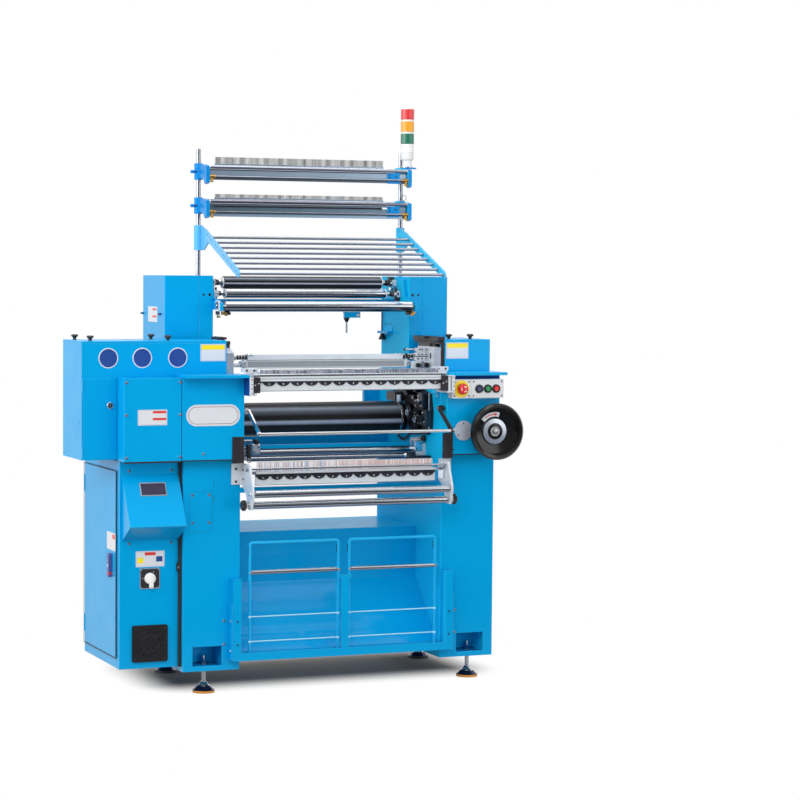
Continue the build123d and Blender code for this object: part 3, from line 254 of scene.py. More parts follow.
def metalFinish(name, bright, dull, roughness, brush=None, brushDepth=0.15, paintedReflection=False):
    finish = Finish(name)
    stain = finish.noise(14.0, detail=4.0)
    colour = finish.mix(stain, bright, dull)
    if paintedReflection:
        colour = finish.mix(1.0, colour, finish.paintedBands(paintedReflectionBands), "MULTIPLY")
    rough = roughness + 0.16 * (stain - 0.5)
    if brush is None:
        grain, depth = finish.noise(260.0), 0.03
    else:
        grain, depth = finish.noise(1.0, stretch=brush, detail=3.0), brushDepth
        rough = rough + 0.2 * (grain - 0.5)
    normal = finish.bump(grain, depth, 0.0003, finish.rounded(edgeRadius))
    return finish.surface(Base_Color=colour, Roughness=rough, Metallic=1.0, Normal=normal)


def plainFinish(name, colour, roughness, grain=600.0, depth=0.12, coat=0.0, tone=0.16, specular=0.4):
    finish = Finish(name)
    rounded = finish.rounded(edgeRadius)
    cloud = finish.noise(22.0, detail=3.0)
    darker = tuple([c * (1 - tone) for c in colour[:3]] + [1])
    lighter = tuple([min(1, c * (1 + tone) + 0.012) for c in colour[:3]] + [1])
    body = finish.mix(cloud, lighter, darker)
    # lighter along the rounded edges: painted highlight
    body = finish.mix(finish.maths("MINIMUM", finish.edge(rounded) * 1.6, 0.4), body, lighter)
    rough = roughness + 0.14 * (finish.noise(45.0) - 0.5)
    normal = finish.bump(finish.noise(grain, detail=1.0), depth, 0.0003, rounded)
    return finish.surface(Base_Color=body, Roughness=rough, Coat_Weight=coat, Coat_Roughness=0.1,
                          Specular_IOR_Level=specular, Normal=normal)


def labelFinish(name, colour, roughness=0.38, tone=0.05, coat=0.0, depth=0.03, specular=0.4):
    return plainFinish(name, colour, roughness, 300.0, depth, coat, tone, specular)


blueLook = (paintLook["front"], paintLook["deep"], paintLook["worn"])
bluePaint = paintFinish("blue_paint", *blueLook)
steelTone, holeShadeTone, wireTone = grey(196), rgb(26, 44, 84), rgb(176, 226, 246)
frameRight = paintFinish("blue_paint_steel_pins", *blueLook, [({"x": (380, 439.5), "y": (0, 600)}, steelTone, 1.0)])
tubePaint = paintFinish("blue_paint_pale_wires", rgb(34, 178, 236), rgb(10, 158, 224), paintLook["worn"],
                        [({"z": (height, height + 8)}, wireTone, 0.0) for height in (210, 310)])
tablePaint = paintFinish("table_blue_gloss", *blueLook, peel=0.02, gloss=0.6)
# two small dark squares on the gear box's outer side, in place of holes: painted shade
gearBoxPaint = paintFinish("blue_paint_painted_hole_shade", *blueLook,
                           [({"x": (-1086, -1084), "y": (y, y + 8), "z": (z, z + 8)}, holeShadeTone, 0.0)
                            for y, z in ((145, 1257), (69, 1092))])
armPaint = paintFinish("rack_arm_blue", paintLook["armFront"], paintLook["armDeep"], rgb(214, 238, 252), peel=0.3)
clampPaint = paintFinish("clamp_blue", paintLook["clampFront"], paintLook["clampDeep"], rgb(150, 214, 246), peel=0.3)
# chrome with painted reflection lines
chrome = metalFinish("chrome", rgb(236, 241, 246), rgb(216, 223, 232), 0.13, paintedReflection=True)
chromeUpright = metalFinish("chrome_upright", grey(224), grey(196), 0.16)
brightSteel = metalFinish("bright_steel", rgb(226, 232, 240), rgb(202, 210, 220), 0.24, brush=(4.0, 500.0, 700.0))
aluminium = metalFinish("milled_aluminium", rgb(222, 228, 238), rgb(198, 206, 220), 0.36,
                        brush=(500.0, 40.0, 8.0))
channelAluminium = metalFinish("channel_aluminium", rgb(232, 240, 248), rgb(212, 222, 234), 0.3,
                               brush=(3.0, 300.0, 600.0))
blueSteel = metalFinish("blue_grey_bar", rgb(172, 192, 210), rgb(128, 148, 172), 0.3,
                        brush=(3.0, 500.0, 500.0))
darkSteel = metalFinish("blackened_steel", rgb(74, 74, 82), rgb(46, 46, 54), 0.34, brush=(60.0, 60.0, 60.0))
castIron = metalFinish("cast_iron", rgb(96, 98, 104), rgb(60, 62, 68), 0.5, brush=(90.0, 90.0, 90.0),
                       brushDepth=0.4)
zinc = metalFinish("zinc_screw", grey(220), grey(186), 0.26)
copper = metalFinish("copper_screw", rgb(196, 164, 158), rgb(138, 112, 112), 0.36)
brass = metalFinish("brass", rgb(214, 170, 92), rgb(168, 122, 54), 0.28)
needleSteel = metalFinish("needle_steel", rgb(216, 222, 232), rgb(160, 168, 182), 0.32)
pinSteel = metalFinish("reed_pin_steel", grey(150), grey(104), 0.4)
rubber = plainFinish("rubber", grey(28), 0.62, grain=900.0, depth=0.3)


def rollerFinish(name, dark, highlightStops):  # black rubber with soft painted highlight lines that stay level while the roller turns
    finish = Finish(name)
    paintedHighlights = finish.paintedBands(highlightStops)
    cloud = finish.noise(30.0)
    return finish.surface(Base_Color=finish.mix(cloud * 0.3, paintedHighlights, dark), Roughness=0.34 + 0.1 * cloud,
                          Specular_IOR_Level=0.3, Normal=finish.bump(finish.noise(700.0), 0.04, 0.0003))


# the light stops are painted highlights
rollerRubber = rollerFinish("roller_rubber", grey(18),
                            [(0.0, grey(20)), (0.34, grey(14)), (0.40, rgb(160, 172, 194)),
                             (0.45, rgb(186, 198, 218)), (0.51, grey(22)), (0.62, grey(12)),
                             (0.74, rgb(96, 104, 118)), (0.83, rgb(156, 164, 178)), (0.90, grey(34)),
                             (1.0, grey(24))])
glossBlack = plainFinish("gloss_black", grey(7), 0.16, grain=60.0, depth=0.02, coat=0.25, tone=0.2, specular=0.3)
blackMetal = plainFinish("black_oxide_plate", rgb(34, 29, 36), 0.44, grain=420.0, depth=0.14)
lobeBlack = plainFinish("lobe_black", rgb(26, 26, 36), 0.28, grain=200.0, depth=0.08, coat=0.2)
blackPlastic = plainFinish("black_plastic", grey(20), 0.4, depth=0.2)
boxGrey = plainFinish("box_grey", rgb(218, 222, 226), 0.4, depth=0.08, tone=0.05)
white = plainFinish("white_plastic", grey(238), 0.32, depth=0.04, coat=0.2, tone=0.03)
labelWhite = labelFinish("label_white", rgb(212, 216, 223), tone=0.02, coat=0.3)
labelYellow = labelFinish("label_yellow", rgb(246, 222, 10), coat=0.3)
labelRed = labelFinish("label_red", rgb(218, 40, 34), tone=0.06, coat=0.3)
labelLine = labelFinish("label_line", rgb(120, 44, 34), 0.4, tone=0.1)
labelGrey = labelFinish("label_grey", rgb(150, 156, 164), 0.4)
plateGrey = labelFinish("plate_grey", rgb(176, 184, 200), 0.36, tone=0.08, depth=0.05)
paintedShadowBlue = labelFinish("painted_shadow_blue", rgb(4, 70, 150), 0.5, tone=0.06, specular=0.1)
signBlue = labelFinish("sign_blue", rgb(4, 62, 142), 0.4, tone=0.08, coat=0.1)
combPale, combRose, combBlue, combDark = [
    plainFinish("comb_" + name, rgb(*colour), 0.4, tone=0.05) for name, colour in
    (("pale", (240, 236, 240)), ("rose", (214, 190, 188)), ("blue", (142, 168, 202)), ("dark", (74, 80, 100)))]
estopYellow = plainFinish("estop_yellow", rgb(244, 212, 24), 0.34, coat=0.3, tone=0.06)
redPlastic, greenPlastic, bluePlastic = [
    plainFinish(name + "_plastic", rgb(*colour), 0.26, grain=200.0, depth=0.05, coat=0.5) for name, colour in
    (("red", (214, 22, 30)), ("green", (0, 140, 70)), ("blue", (44, 48, 96)))]
darkBlue = plainFinish("dark_blue_latch", rgb(30, 58, 116), 0.4)
glass = plainFinish("display_glass", rgb(36, 30, 66), 0.2, grain=80.0, depth=0.02, coat=0.3, tone=0.1, specular=0.3)
motorPaint = plainFinish("motor_paint", rgb(96, 110, 124), 0.42, depth=0.25)
ductGrey = plainFinish("duct_grey", rgb(168, 172, 176), 0.5)


def lensFinish(name, colour):  # signal lens: lit a little from inside, ribbed by its mesh
    finish = Finish(name)
    cloud = finish.noise(60.0)
    deep = tuple([c * 0.75 for c in colour[:3]] + [1])
    return finish.surface(Base_Color=finish.mix(cloud, colour, deep), Roughness=0.1 + 0.12 * cloud, Coat_Weight=0.8,
                          Coat_Roughness=0.04, Emission_Color=colour, Emission_Strength=0.12,
                          Normal=finish.bump(finish.noise(300.0), 0.03, 0.0002))


lensRed, lensAmber, lensGreen = [lensFinish("lens_" + name, rgb(*colour)) for name, colour in
                                 (("red", (224, 50, 56)), ("amber", (244, 164, 14)), ("green", (0, 112, 88)))]


def zonedMetal(name, base, parts=()):  # base is (colour, rough, metal), each part (zone, colour, rough, metal)
    finish = Finish(name)
    stain = finish.noise(16.0, detail=3.0)
    colour, rough, metal = base
    rough = rough + 0.12 * (stain - 0.5)
    for zone, partColour, partRough, partMetal in parts:
        mask = finish.zone(**zone)
        colour = finish.mix(mask, colour, partColour)
        rough = rough * (1 - mask) + partRough * mask
        metal = metal * (1 - mask) + partMetal * mask
    tinted = finish.mix(stain * 0.25, colour, grey(110))
    normal = finish.bump(finish.noise(320.0), 0.05, 0.0003, finish.rounded(edgeRadius))
    return finish.surface(Base_Color=tinted, Roughness=rough, Metallic=metal, Normal=normal)


paleSteel = zonedMetal("pale_steel", (rgb(222, 230, 237), 0.38, 0.25))
barPale = zonedMetal("weft_bar_pale", (rgb(230, 240, 250), 0.4, 0.25),
                     [({"y": (178, 181)}, rgb(176, 186, 200), 0.4, 0.2)])
# orange rubber ring, dark dome and bright stud; on the rear feet the ring is dark grey: painted shade
footFinish = zonedMetal("foot_finish", (grey(214), 0.2, 1.0),
                        [({"z": (-1, 9.5)}, rgb(232, 150, 48), 0.42, 0.0),
                         ({"z": (9.5, 26)}, rgb(36, 46, 84), 0.14, 0.8),
                         ({"z": (-1, 9.5), "y": (400, 800)}, grey(40), 0.6, 0.0)])
headFinish = zonedMetal("drive_head_finish", (rgb(218, 222, 234), 0.42, 0.3),
                        [({"x": (400, 520), "z": (1387, 1403)}, grey(24), 0.4, 0.0),
                         ({"x": (400, 520), "y": (44, 48)}, grey(22), 0.5, 0.0)])
knobFinish = zonedMetal("knob_finish", (grey(20), 0.36, 0.0),
                        [({"x": (-449, 449), "z": (740, 800)}, grey(206), 0.3, 1.0)])
guardFinish = zonedMetal("guard_bar_finish", (grey(232), 0.16, 1.0), [({"x": (411.5, 460)}, grey(30), 0.36, 0.2)])
# darker and lighter bands across the creel's flat and round bars, by height: painted shade and highlight on their
# blue-grey steel
creelBarShading = zonedMetal("creel_bars_painted_shade", (rgb(176, 182, 194), 0.2, 1.0),
                         [({"y": y, "z": z}, rgb(*colour), rough, metal) for y, z, colour, rough, metal in (
                             ((384, 400), (1933, 1977), (120, 146, 166), 0.34, 1.0),
                             ((384, 400), (1918, 1933), (160, 190, 216), 0.34, 0.8),
                             ((384, 400), (2092, 2118), (166, 188, 208), 0.34, 0.9),
                             ((384, 400), (2070, 2092), (104, 120, 136), 0.34, 1.0),
                             ((370, 405), (1980, 1992), (150, 152, 166), 0.2, 1.0),
                             ((370, 405), (1972, 1980), (58, 70, 104), 0.34, 0.9),
                             ((370, 405), (2112, 2121), (58, 70, 104), 0.34, 0.9),
                             ((370, 384), (1934, 1939), (62, 68, 84), 0.34, 0.9),
                             ((370, 384), (2079, 2084), (62, 68, 84), 0.34, 0.9))])
bracketFinish = paintFinish("blue_paint_steel_hook", *blueLook,
                            [({"x": (200, 290), "z": (1430, 1505)}, steelTone, 1.0)])
grilleFinish = plainFinish("grille_black", rgb(16, 15, 20), 0.55, grain=260.0, depth=0.2, specular=0.2)
grilleWire = plainFinish("grille_wire", rgb(58, 60, 66), 0.4, grain=260.0, depth=0.2)
handleFinish = zonedMetal("door_handle_finish", (rgb(70, 90, 160), 0.34, 0.2),
                          [({"z": (488, 498)}, rgb(200, 40, 60), 0.4, 0.0)])

finishes = {  # every other node is painted blue
    "right_side_frame": frameRight, "rear_table": tablePaint, "tube_frames": tubePaint, "left_gear_box": gearBoxPaint,
    "clamp_knobs": knobFinish, "fan_grille": grilleFinish, "leveling_feet": footFinish, "creel_clamps": clampPaint,
    "creel_bars": creelBarShading, "yarn_reeds": pinSteel, "rack_arms": armPaint, "signal_tower": white,
    "feed_brackets": bracketFinish, "drive_heads": headFinish, "weft_channel": barPale, "zigzag_plates": paleSteel,
    "clamp_plates": lobeBlack, "end_blocks": blackMetal, "roller_holders": paleSteel, "needle_beds": brightSteel,
    "guide_rods": chrome, "control_boxes": boxGrey, "main_motor": motorPaint, "drive_belt": rubber,
    "hand_drive_gearbox": castIron, "handwheel": glossBlack, "main_shaft": castIron, "motor_pulley": castIron,
    "take_down_roller": rollerRubber, "take_down_gear": darkSteel, "middle_gear": darkSteel, "input_gear": darkSteel,
    "rubber_feed_roller": rollerRubber, "chrome_feed_roller": chrome, "front_feed_roller": chrome,
    "upper_fabric_roller": chrome, "lower_fabric_roller": chrome, "weft_bar": barPale, "needle_bar": needleSteel,
    "guard_bar": guardFinish, "emergency_button": redPlastic, "jog_button": bluePlastic, "run_button": greenPlastic,
    "stop_button": redPlastic, "main_switch_knob": white, "cabinet_door_handle": handleFinish,
    "fan_rotor": blackPlastic}
for name, piece in nodes.items():
    if not piece.material_slots:
        piece.data.materials.append(None)
    for slot in piece.material_slots:
        slot.material = finishes.get(name, bluePaint)
print("finishes:", len(bpy.data.materials))


# Each row of the creel has a thinner rod, set higher, before a deeper flat bar.
creelLook = {"rodDrop": 68, "rod": (378.7, 0.77), "solidRod": (386, 6.6), "flat": (390, 58), "near": (3, 2),
             "rows": {2143: (57, 12), 2002: (61, 22)}}
creelBars = bpy.data.objects.new("creel_rows", nodes["creel_bars"].data.copy())
bpy.context.scene.collection.objects.link(creelBars)
toScene = nodes["creel_bars"].matrix_world.copy()
(rodY, shrink), (solidY, reach) = creelLook["rod"], creelLook["solidRod"]
(flatY, flatDrop), near = creelLook["flat"], creelLook["near"]
for corner in creelBars.data.vertices:
    place = toScene @ corner.co
    y, z = (place.y - frontY) / mm, place.z / mm
    for top, (drop, deeper) in creelLook["rows"].items():
        rodZ = top - creelLook["rodDrop"]
        if abs(y - solidY) < reach and abs(z - rodZ) < reach:
            y, z = rodY + (y - solidY) * shrink, top - drop + (z - rodZ) * shrink
        elif abs(y - flatY) < near[0] and abs(z - top + flatDrop) < near[1]:
            z -= deeper
    corner.co = Vector((place.x, frontY + y * mm, z * mm))
creelBars.data.materials.clear()
creelBars.data.materials.append(creelBarShading)
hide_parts("creel_bars")
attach(creelBars, "root")


# mesh building in machine millimetres
def inset(outline, depth):
    ring = [Vector(point) for point in outline]
    before, after = ring[-1:] + ring[:-1], ring[1:] + ring[:1]
    area = sum(a.x * b.y - b.x * a.y for a, b in zip(ring, after))
    way = 1 if area > 0 else -1
    moved = []
    for last, here, following in zip(before, ring, after):
        first = Vector((last.y - here.y, here.x - last.x)).normalized() * way
        second = Vector((here.y - following.y, following.x - here.x)).normalized() * way
        corner = (first + second) / max((first + second).length_squared / 2, 0.2)
        moved.append(tuple(here + corner * depth))
    return moved


def polar(place, radius, degrees):
    return (place[0] + radius * math.cos(math.radians(degrees)), place[1] + radius * math.sin(math.radians(degrees)))


def circle(place, radius, sides=32, waves=0, depth=0.0):  # plain, or with waves round its edge
    turns = [360 * step / sides for step in range(sides)]
    return [polar(place, radius + depth * math.cos(math.radians(waves * turn)), turn) for turn in turns]


def arcBand(place, outer, inner, start, step, count):  # a bent strip from one angle on
    turns = [start + step * index for index in range(count)]
    return [polar(place, outer, turn) for turn in turns] + [polar(place, inner, turn) for turn in turns[::-1]]


def grid(first, second):
    return [(u, v) for u in first for v in second]


def rectangle(u, v):
    return [(u[0], v[0]), (u[1], v[0]), (u[1], v[1]), (u[0], v[1])]


def stadium(u, v, corner, steps=8):  # rectangle with round corners
    low, high = (u[0] + corner, v[0] + corner), (u[1] - corner, v[1] - corner)
    return [polar(middle, corner, turn + 90 * step / steps) for middle, turn in
            ((high, 0), ((low[0], high[1]), 90), (low, 180), ((high[0], low[1]), 270)) for step in range(steps + 1)]


sharpAngle = math.radians(38)
placings = {"x": lambda a, u, v: (a, u, v), "y": lambda a, u, v: (u, a, v), "z": lambda a, u, v: (u, v, a)}


class Piece:  # collects solids of several finishes into one mesh object
    def __init__(self, name):
        self.name = name
        self.points, self.faces, self.marks, self.finishes = [], [], [], []
        self.turn = None

    def add(self, finish, points, faces):
        if finish not in self.finishes:
            self.finishes.append(finish)
        start = len(self.points)
        for point in points:
            self.points.append(spot(*(self.turn @ Vector(point) if self.turn else point)))
        self.faces += [[start + corner for corner in face] for face in faces]
        self.marks += [self.finishes.index(finish)] * len(faces)

    def stack(self, finish, axis, layers, closed=False):
        place = placings[axis]
        points = [place(along, u, v) for along, outline in layers for u, v in outline]
        count, rows = len(layers[0][1]), len(layers)
        faces = []
        for row in range(rows if closed else rows - 1):
            here, there = row * count, (row + 1) % rows * count
            faces += [[here + step, here + (step + 1) % count, there + (step + 1) % count, there + step]
                      for step in range(count)]
        if not closed:
            faces += [list(range(count)), list(range((rows - 1) * count, rows * count))]
        self.add(finish, points, faces)

    def prism(self, finish, axis, outline, span, edge=0.4):
        low, high = sorted(span)
        edge = min(edge, (high - low) / 3)
        small = inset(outline, edge)
        self.stack(finish, axis, [(low, small), (low + edge, outline), (high - edge, outline), (high, small)])

    def block(self, finish, x, y, z, edge=0.5):
        self.prism(finish, "y", rectangle(sorted(x), sorted(z)), y, edge)

    def blocks(self, rows, side=1):  # rows of (finish, x, y, z, edge); side -1 mirrors them
        for finish, x, y, z, edge in rows:
            self.block(finish, (side * x[0], side * x[1]), y, z, edge)

    def lathe(self, finish, axis, outline, place, sides=32, closed=False):
        self.stack(finish, axis, [(along, circle(place, radius, sides)) for along, radius in outline], closed)

    def tube(self, finish, axis, span, place, radius, sides=24, edge=0.5):
        low, high = sorted(span)
        edge = min(edge, (high - low) / 3, radius / 3)
        self.lathe(finish, axis, [(low, radius - edge), (low + edge, radius), (high - edge, radius),
                                  (high, radius - edge)], place, sides)

    def ring(self, finish, axis, span, place, inner, outer, sides=48, edge=0.4):
        low, high = sorted(span)
        self.lathe(finish, axis, [(low, inner), (low, outer - edge), (low + edge, outer), (high - edge, outer),
                                  (high, outer - edge), (high, inner)], place, sides, closed=True)

    def band(self, finish, axis, span, outer, inner):  # flat frame between two outlines
        low, high = sorted(span)
        self.stack(finish, axis, [(low, inner), (low, outer), (high, outer), (high, inner)], closed=True)

    def screw(self, finish, axis, base, place, radius, height, way=-1):
        top = base + way * height
        self.lathe(finish, axis, [(base, radius), (base + way * height * 0.55, radius), (top, radius * 0.72)],
                   place, 16)
        self.prism(blackPlastic, axis, circle(place, radius * 0.42, 6), (top - way * 0.2, top + way * 0.15), 0.02)

    def screws(self, finish, axis, base, places, radius, height, way=-1):
        for place in places:
            self.screw(finish, axis, base, place, radius, height, way)

    def nut(self, finish, axis, span, place, radius):
        self.prism(finish, axis, circle(place, radius, 6), span, 0.8)

    def done(self, body="root", hides=()):
        mesh = bpy.data.meshes.new(self.name)
        mesh.from_pydata(self.points, [], self.faces)
        for finish in self.finishes:
            mesh.materials.append(finish)
        mesh.polygons.foreach_set("material_index", self.marks)
        shape = bmesh.new()
        shape.from_mesh(mesh)
        bmesh.ops.recalc_face_normals(shape, faces=shape.faces)
        shape.to_mesh(mesh)
        shape.free()
        mesh.shade_smooth()
        mesh.set_sharp_from_angle(angle=sharpAngle)
        piece = bpy.data.objects.new(self.name, mesh)
        bpy.context.scene.collection.objects.link(piece)
        if hides:
            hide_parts(*hides)
        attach(piece, body)
        print("piece", self.name, len(mesh.polygons))


sides = (-1, 1)
draw = random.Random(7)

# blank signs, plates and labels; nothing is written on any of them
signLook = {"places": (-977, -838, -691), "height": 1353, "radius": 40, "rim": 4, "front": 42}
signs = Piece("blank_round_signs")
base, rim = signLook["front"], signLook["radius"]
field = rim - signLook["rim"]
for signX in signLook["places"]:
    place = (signX, signLook["height"])
    signs.lathe(labelWhite, "y", [(base, rim), (base - 0.8, rim), (base - 1.2, rim - 0.5)], place, 64)
    signs.lathe(signBlue, "y", [(base - 1.2, field), (base - 1.5, field - 0.3)], place, 64)
signs.done()

plateLook = {"thickness": 1.0, "corner": 2, "margin": 3, "line": 0.8, "print": 0.3}
plates = Piece("blank_plates")


def plate(x, z, front, bars):
    face, margin = front - plateLook["thickness"], plateLook["margin"]
    plates.prism(labelWhite, "y", stadium(x, z, plateLook["corner"]), (face, front), 0.2)
    border = stadium((x[0] + margin, x[1] - margin), (z[0] + margin, z[1] - margin), 1)
    plates.band(labelGrey, "y", (face - 0.15, face), border, inset(border, plateLook["line"]))
    for finish, barX, barZ in bars:
        plates.prism(finish, "y", rectangle(barX, barZ), (face - plateLook["print"], face), 0.05)


plate((-596, -491), (1338, 1406), 42, [(labelYellow, (-592, -495), (1384, 1402))])
plate((477, 578), (1340, 1407), 42, [(labelYellow, (481, 574), (1385, 1403))])
plate((-884, -764), (1092, 1153), -50, [(labelRed, (-823, -768), barZ) for barZ in ((1139, 1148), (1112, 1121))])
plate((-865, -746), (525, 588), 35, [(labelRed, (-828, -783), (571, 583)), (signBlue, (-781, -755), (545, 566)),
                                     (labelYellow, (-858, -834), (540, 562))])
ovalLook = {"x": (-685, -461), "z": (1085, 1170), "corner": 42.4, "front": -50, "thickness": 2, "border": (8, 9.8)}
oval, face = stadium(ovalLook["x"], ovalLook["z"], ovalLook["corner"], 16), ovalLook["front"] - ovalLook["thickness"]
plates.prism(labelWhite, "y", oval, (face, ovalLook["front"]), 0.5)
plates.band(labelLine, "y", (face - 0.3, face), *[inset(oval, depth) for depth in ovalLook["border"]])
plates.done()

sideLabels = Piece("blank_side_labels")  # on the upper cover's outer side, with its two thumb latches
sideLabels.prism(labelWhite, "x", stadium((442, 567), (1485, 1549), 2), (-650, -649), 0.2)
for barZ in ((1533, 1541), (1504, 1512)):
    sideLabels.prism(labelRed, "x", rectangle((452, 506), barZ), (-650.4, -650), 0.05)
for latchY in (400, 640):
    sideLabels.tube(darkBlue, "x", (-655, -649), (latchY, 1519), 5)
    sideLabels.block(darkBlue, (-660, -654), (latchY - 10, latchY + 10), (1516.5, 1521.5), 1.2)
latchScrews = (380, 505, 630)
sideLabels.screws(zinc, "x", -649, grid(latchScrews, (1300,)), 4, 2.5)
sideLabels.screws(zinc, "x", 618, grid(latchScrews, (1300, 1660)), 4, 2.5, way=1)
sideLabels.done()

doorLabel = Piece("cabinet_door_label")
doorLabel.prism(labelWhite, "x", stadium((70, 196), (586, 656), 2), (-936.3, -935.3), 0.2)
doorLabel.prism(labelRed, "x", rectangle((84, 118), (632, 650)), (-936.6, -936.3), 0.05)
doorLabel.done("cabinet_door")
print("signs and plates done")

# screws of the covers
screwLook = {"radius": 5.2, "height": 3, "places": {  # by the height of the face
    35: grid((-893, -718), (907, 620)), -50: [(-613, 975)], -52: grid((-931, -708), (1260, 1133, 966)),
    0: grid((-641, -572), (807, 697)) + [(507, 298), (506, 206), (-507, 301), (-507, 206)]}}
screws = Piece("cover_screws")
for front, places in screwLook["places"].items():
    screws.screws(copper, "y", front, places, screwLook["radius"], screwLook["height"])
for z in (782, 791, 800, 838, 847, 856):  # small rivets beside the service plate
    screws.lathe(blackPlastic, "y", [(0, 2.2), (-1, 1.6)], (-552, z), 12)
servicePlate = stadium((-655, -558), (660, 821), 4)
screws.band(blackPlastic, "y", (-0.4, 0), servicePlate, inset(servicePlate, 0.7))
screws.block(blackPlastic, (-697, -686), (20, 37), (505, 538), 2)  # latch at the cabinet's edge
screws.tube(zinc, "y", (28, 17), (-691, 521), 5)
roundPlate = (516, 1047)
screws.lathe(plateGrey, "y", [(-50, 41), (-53.4, 41), (-54, 40.2)], roundPlate, 64)
screws.screws(zinc, "y", -54, [polar(roundPlate, 31, turn) for turn in (95, 215, 335)], 4, 2.4)
screws.screws(darkSteel, "y", -50, grid((470, 640), (970, 1255)), 3.4, 1.8)
for side in sides:
    for x, radius in ((456, 6), (482, 4.8)):
        screws.tube(blackPlastic, "y", (341.6, 346), (side * x, 1600), radius)
screws.done()

gapShadowLook = {"wide": 8, "door": ((73, 525), (163, 903)), "face": (-937.6, -936)}
gapShades = Piece("painted_gap_shadows")  # dark strips in the rubber finish round the cabinet's door, beside the frame and under the panels at both sides, and a dark blue strip above the right control box: painted shadow in these gaps
doorGapY, doorGapZ = gapShadowLook["door"]
doorEdge = rectangle((doorGapY[0] - 1, doorGapY[1] + 1), (doorGapZ[0] - 1, doorGapZ[1] + 1))
gapShades.band(rubber, "x", gapShadowLook["face"], inset(doorEdge, -3), doorEdge)
gapShades.blocks([(rubber, gapShadowLook["face"], (doorGapY[0] - gapShadowLook["wide"], doorGapY[0] - 4), (159, 907), 0.3),
              (rubber, (-690, -680.4), (16, 34), (122, 948), 1),
              (rubber, (-938, -704), (-50, -44), (943.5, 949.8), 0.8),
              (rubber, (-702, -442), (-48, -1), (946.5, 950.6), 0.5),
              (rubber, (442, 679), (-48, -1), (946.5, 950.6), 0.5),
              (paintedShadowBlue, (446, 678), (-51.5, -50), (1261, 1275), 0.4)])
gapShades.done()

# display on the sloped desk
deskLook = {"rise": 197, "run": 110, "middle": (-804, 3, 835.7)}
slope = math.atan2(deskLook["rise"], deskLook["run"])
display = Piece("desk_display")
display.turn = Matrix.Translation(deskLook["middle"]) @ Matrix.Rotation(slope - math.pi / 2, 4, "X")
display.prism(labelGrey, "y", stadium((-54, 54), (-29, 29), 3), (-3, 0.5), 1)
display.prism(glass, "y", stadium((-50, 50), (-25, 24), 1.5), (-3.5, -2.9), 0.15)
for x in (30, 38, 46):
    display.lathe(labelGrey, "y", [(-3.5, 1.5), (-3.9, 1.2)], (x, -26), 12)
display.done()

# rotary switch plate
switchLook = {"x": (-848.5, -765.5), "z": (438, 520), "front": 33, "middle": (-807, 479), "marks": 29}
switch = Piece("main_switch_plate")
outer, face = stadium(switchLook["x"], switchLook["z"], 3), switchLook["front"] - 1.2
switch.prism(aluminium, "y", outer, (face + 0.4, switchLook["front"]), 0.2)
switch.prism(blackMetal, "y", inset(outer, 4), (face, face + 0.4), 0.1)
for turn in (60, 180, 300):
    switch.lathe(labelWhite, "y", [(face, 2), (face - 0.3, 1.7)],
                 polar(switchLook["middle"], switchLook["marks"], turn), 16)
switch.screws(zinc, "y", face, grid((-842, -772), (444.5, 513.5)), 2.6, 1.4)
switch.done()
switchGrip = Piece("main_switch_grip")
switchGrip.lathe(white, "y", [(32.5, 23), (24, 22), (20.5, 20), (19.5, 16)], switchLook["middle"], 48)
switchGrip.prism(white, "y", stadium((-815, -799), (441, 492), 7), (6.5, 20.5), 2)
switchGrip.prism(labelRed, "y", rectangle((-808, -806), (444, 452)), (6.2, 6.5), 0.05)
switchGrip.done("main_switch_knob", hides=("main_switch_knob",))

# fan guard: fine wires over the grille
fanLook = {"place": (-807, 220), "rings": 14, "inner": 11, "pitch": 3.6, "wire": 1.1, "screws": 61}
guard = Piece("fan_mesh")
fanX, fanZ = fanLook["place"]
for step in range(fanLook["rings"]):
    inner = fanLook["inner"] + fanLook["pitch"] * step
    guard.ring(grilleWire, "y", (25.4, 26.6), fanLook["place"], inner, inner + fanLook["wire"], 64, 0.2)
for turn in (45, -45):
    guard.turn = Matrix.Translation((fanX, 0, fanZ)) @ Matrix.Rotation(math.radians(turn), 4, "Y")
    guard.block(grilleFinish, (-62, 62), (24.2, 27.4), (-3.4, 3.4), 0.6)
guard.turn = None
guard.lathe(grilleFinish, "y", [(27, 11), (23.6, 10.5), (23.2, 9)], fanLook["place"], 40)
fanXs, fanZs = [[middle - fanLook["screws"], middle + fanLook["screws"]] for middle in fanLook["place"]]
guard.screws(blackMetal, "y", 25, grid(fanXs, fanZs), 4, 1.6)
guard.done()
print("cabinet front done")

# painted liners inside the foot windows, and brackets beside the channel uprights
liners = Piece("foot_recess_liners")
for side in sides:
    liners.blocks([(bluePaint, (508, 646), (128, 131), (116, 206), 0.4),
                   (bluePaint, (508, 646), (14, 130), (204, 206), 0.4),
                   (bluePaint, (508, 510), (14, 130), (116, 206), 0.4),
                   (bluePaint, (644, 646), (14, 130), (116, 206), 0.4),
                   (bluePaint, (479, 486), (-38, 0), (142, 366), 0.8)], side)
    liners.screws(zinc, "x", side * 486, [(-19, 300), (-19, 180)], 4, 3, way=side)
liners.done()

